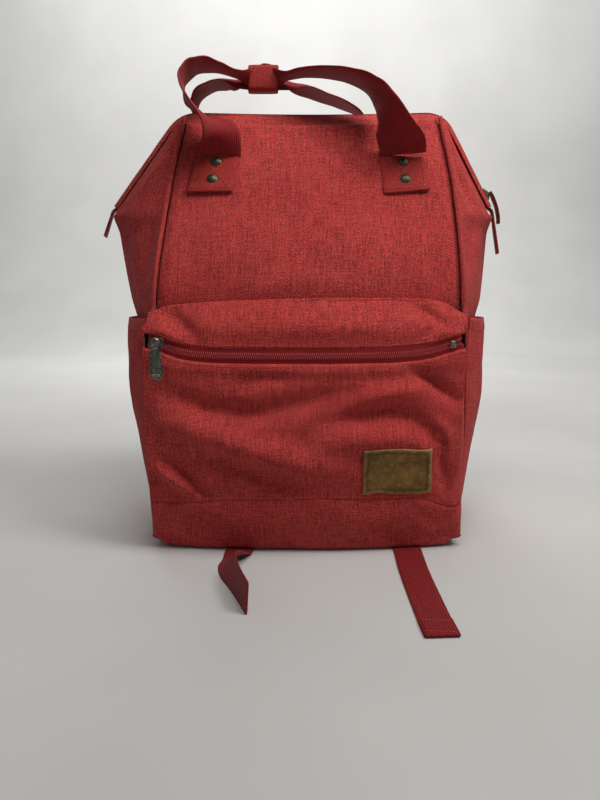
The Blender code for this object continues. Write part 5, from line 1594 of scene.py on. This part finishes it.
def softBody(name, rings, material, body, node, cap=7.0):
    # a padded piece: closed rings, filled out by a short inflation and then smoothed
    rings = np.array(rings, float)
    count, size = rings.shape[:2]
    faces = []
    for i in range(count - 1):
        for j in range(size):
            n = (j + 1) % size
            faces.append((i * size + j, i * size + n, (i + 1) * size + n, (i + 1) * size + j))
    faces.append(tuple(range(size - 1, -1, -1)))
    faces.append(tuple(range((count - 1) * size, count * size)))
    obj = meshPiece(name, rings.reshape(-1, 3) * mm, faces, [material])
    remesh = obj.modifiers.new("remesh", "REMESH")
    remesh.mode = "VOXEL"
    remesh.voxel_size = 0.0042
    remesh.use_smooth_shade = True
    applyAll(obj)
    before = np.array([v.co[:] for v in obj.data.vertices])
    cloth = obj.modifiers.new("cloth", "CLOTH")
    settings = cloth.settings
    settings.quality = 6
    settings.mass = 0.3
    settings.tension_stiffness = 30
    settings.compression_stiffness = 12
    settings.shear_stiffness = 8
    settings.bending_stiffness = 3.0
    settings.use_pressure = True
    settings.uniform_pressure_force = 4
    settings.shrink_min = 0.0
    settings.effector_weights.gravity = 0
    cloth.point_cache.frame_start = 1
    cloth.point_cache.frame_end = 20
    for step in range(1, 21):
        bpy.context.scene.frame_set(step)
    depsgraph = bpy.context.evaluated_depsgraph_get()
    shape = obj.evaluated_get(depsgraph).to_mesh()
    after = np.array([v.co[:] for v in shape.vertices])
    obj.modifiers.clear()
    move = after - before
    far = np.linalg.norm(move, axis=1, keepdims=True)
    move *= np.minimum(1, cap * mm / np.maximum(far, 1e-9))
    obj.data.vertices.foreach_set("co", (before + move).ravel())
    bpy.context.scene.frame_set(1)
    smooth = obj.modifiers.new("smooth", "SUBSURF")
    smooth.levels = 1
    smooth.render_levels = 1
    applyAll(obj)
    return finishSoft(obj, name, body, node)


def applyAll(obj):
    depsgraph = bpy.context.evaluated_depsgraph_get()
    done = bpy.data.meshes.new_from_object(obj.evaluated_get(depsgraph))
    obj.modifiers.clear()
    obj.data = done
    done.polygons.foreach_set("use_smooth", [True] * len(done.polygons))


def boxCloth(obj, across=1.0):
    # cloth co-ordinates in metres from the side each face looks at
    mesh = obj.data
    layer = mesh.uv_layers.get("UVMap") or mesh.uv_layers.new(name="UVMap")
    points = np.array([v.co[:] for v in mesh.vertices])
    for face in mesh.polygons:
        n = face.normal
        size = (abs(n[0]), abs(n[1]), abs(n[2]))
        a, b = ((1, 2), (0, 2), (0, 1))[size.index(max(size))]
        for loop in face.loop_indices:
            place = points[mesh.loops[loop].vertex_index]
            layer.data[loop].uv = (place[a], place[b])


def finishSoft(obj, name, body, node):
    points = np.array([v.co[:] for v in obj.data.vertices])
    normals = np.array([v.normal[:] for v in obj.data.vertices])
    lift = 0.5 * ripple(points / mm, 24, 91) + 0.2 * ripple(points / mm, 9, 92)
    obj.data.vertices.foreach_set("co", (points + normals * (lift * mm)[:, None]).ravel())
    obj.data.update()
    boxCloth(obj)
    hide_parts(node)
    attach(obj, body)
    return obj


def superRing(centre, side, normal, wide, thick, count=28):
    ring = []
    for k in range(count):
        a = 2 * math.pi * k / count
        c, s = math.cos(a), math.sin(a)
        ring.append(np.array(centre) + np.array(side) * wide / 2 * math.copysign(abs(c) ** 0.35, c)
                    + np.array(normal) * thick / 2 * math.copysign(abs(s) ** 0.75, s))
    return ring


padding = {"points": ((36, 86.2, 284), (40, 92, 270), (50, 99, 245), (66, 104, 210), (82, 106, 170),
                      (93, 106, 135), (98, 105.5, 107)),
           "widths": (52, 54, 58, 60, 58, 50, 34), "thick": (4.5, 7, 7.5, 7.5, 7.2, 7, 5)}
for side, word in ((-1, "left"), (1, "right")):
    rows = splinePoints([(side * p[0], p[1], p[2], w, t) for p, w, t in
                         zip(padding["points"], padding["widths"], padding["thick"])], 40)
    along = np.gradient(rows[:, :3], axis=0)
    along /= np.linalg.norm(along, axis=1, keepdims=True)
    rings = []
    for row, direction in zip(rows, along):
        across = np.array((1.0, 0, 0)) - direction * direction[0]
        across /= np.linalg.norm(across)
        rings.append(superRing(row[:3], across, np.cross(direction, across), row[3], row[4]))
    softBody("shoulderStrap" + word, rings, canvas, "bag", "shoulder_strap_" + word, 6.0)
    for k, inset in enumerate((4.5, -4.5)):
        path = []
        for row, direction in zip(rows[2:-2], along[2:-2]):
            across = np.array((1.0, 0, 0)) - direction * direction[0]
            across /= np.linalg.norm(across)
            off = across * (inset / abs(inset)) * (row[3] / 2 - 4.5)
            path.append(row[:3] + off + np.array((0, row[4] / 2 + 0.1, 0)))
        outs = [(0, 1, 0)] * len(path)
        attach(stitchRow("shoulderStitch%s%d" % (word, k), path, outs, thread, 3.0, 2.2, 0.32), "bag")
    hardCopy("ladderLock" + word, "ladder_lock_" + word, acetal, 0.7, "bag")

rings = []
for y, inset in ((82.6, 0.0), (84.4, -0.2), (86.8, 0.8), (88.4, 4.0), (89.2, 10.0)):
    ring = []
    for cx, cz, start in ((1, 1, 0), (-1, 1, 90), (-1, -1, 180), (1, -1, 270)):
        for turn in np.linspace(0, 90, 9):
            a = math.radians(start + turn)
            ring.append((cx * 82 + (18 - inset) * math.cos(a), y, 145 + cz * 92 + (18 - inset) * math.sin(a)))
    rings.append(ring)
softBody("backPad", rings, padMesh, "bag", "back_pad", 5.0)


# ---- inner and rear cloth ------------------------------------------------

def softCopy(name, node, material, body, sag=0.8, cuts=3, rise=0.0):
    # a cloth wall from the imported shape, made finer and given soft unevenness
    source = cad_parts[node]
    mesh = source.data.copy()
    mesh.name = name
    mesh.materials.clear()
    mesh.materials.append(material)
    obj = bpy.data.objects.new(name, mesh)
    bpy.context.scene.collection.objects.link(obj)
    weld = obj.modifiers.new("weld", "WELD")
    weld.merge_threshold = 0.00001
    finer = obj.modifiers.new("finer", "SUBSURF")
    finer.subdivision_type = "SIMPLE"
    finer.levels = cuts
    applyAll(obj)
    points = np.array([v.co[:] for v in obj.data.vertices]) / mm
    move = np.stack([ripple(points, 34, 95 + k) + 0.3 * ripple(points, 12, 98 + k) for k in range(3)], axis=1)
    move[:, 2] *= 0.4
    move[:, 2] += rise * smoothStep(points[:, 2], 360, 372)
    obj.data.vertices.foreach_set("co", ((points + move * sag) * mm).ravel())
    obj.data.update()
    boxCloth(obj)
    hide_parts(node)
    if body == "rear_jaw":
        blendRear(obj)
    else:
        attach(obj, body)
    return obj


# the front wall inside the bag takes the darkened canvas, painted shade
softCopy("frontWall", "front_wall", paintedShadeCanvas, "bag", 0.5)
softCopy("innerLining", "lining", liningCloth, "bag", 0.7)
softCopy("laptopSleeve", "laptop_sleeve", liningCloth, "bag", 0.6)
softCopy("rearPanel", "rear_panel", canvas, "rear_jaw", 0.8, rise=4.0)
softCopy("backPanel", "back_panel", canvas, "bag", 0.5)
hardCopy("baseBoard", "base_board", boardSkin, 0.4, "bag")
print("straps and inner cloth ready")


# ---- floor ---------------------------------------------------------------

floorPoints, floorFaces = [], []
profile = [(-1.6, 0.0)] + [(y, 0.0) for y in np.linspace(-1.2, 1.4, 14)]
profile += [(1.4 + 0.8 * math.sin(a), 0.8 - 0.8 * math.cos(a)) for a in np.linspace(0.1, math.pi / 2, 12)]
profile += [(2.2, 3.4)]
for y, z in profile:
    for x in np.linspace(-3.4, 3.4, 18):
        floorPoints.append((x, y, z - 0.00005))
for i in range(len(profile) - 1):
    for j in range(17):
        a = i * 18 + j
        floorFaces.append((a, a + 1, a + 19, a + 18))
paper, tree, shader = startMaterial("paleFloor", 0.7)
place = tree.nodes.new("ShaderNodeTexCoord")
cloudy = noiseValue(tree, place.outputs["Object"], 3.0, 3.0, 0.5)
paperTone = mixColour(tree, smoothMask(tree, cloudy, 0.3, 0.7), (0.53, 0.525, 0.51, 1), (0.58, 0.575, 0.56, 1))
tree.links.new(paperTone, shader.inputs["Base Color"])
fine = noiseValue(tree, place.outputs["Object"], 420.0, 2.0, 0.5)
bumpFrom(tree, shader, fine, 0.06, 0.0002)
floor = meshPiece("floor", floorPoints, floorFaces, [paper])
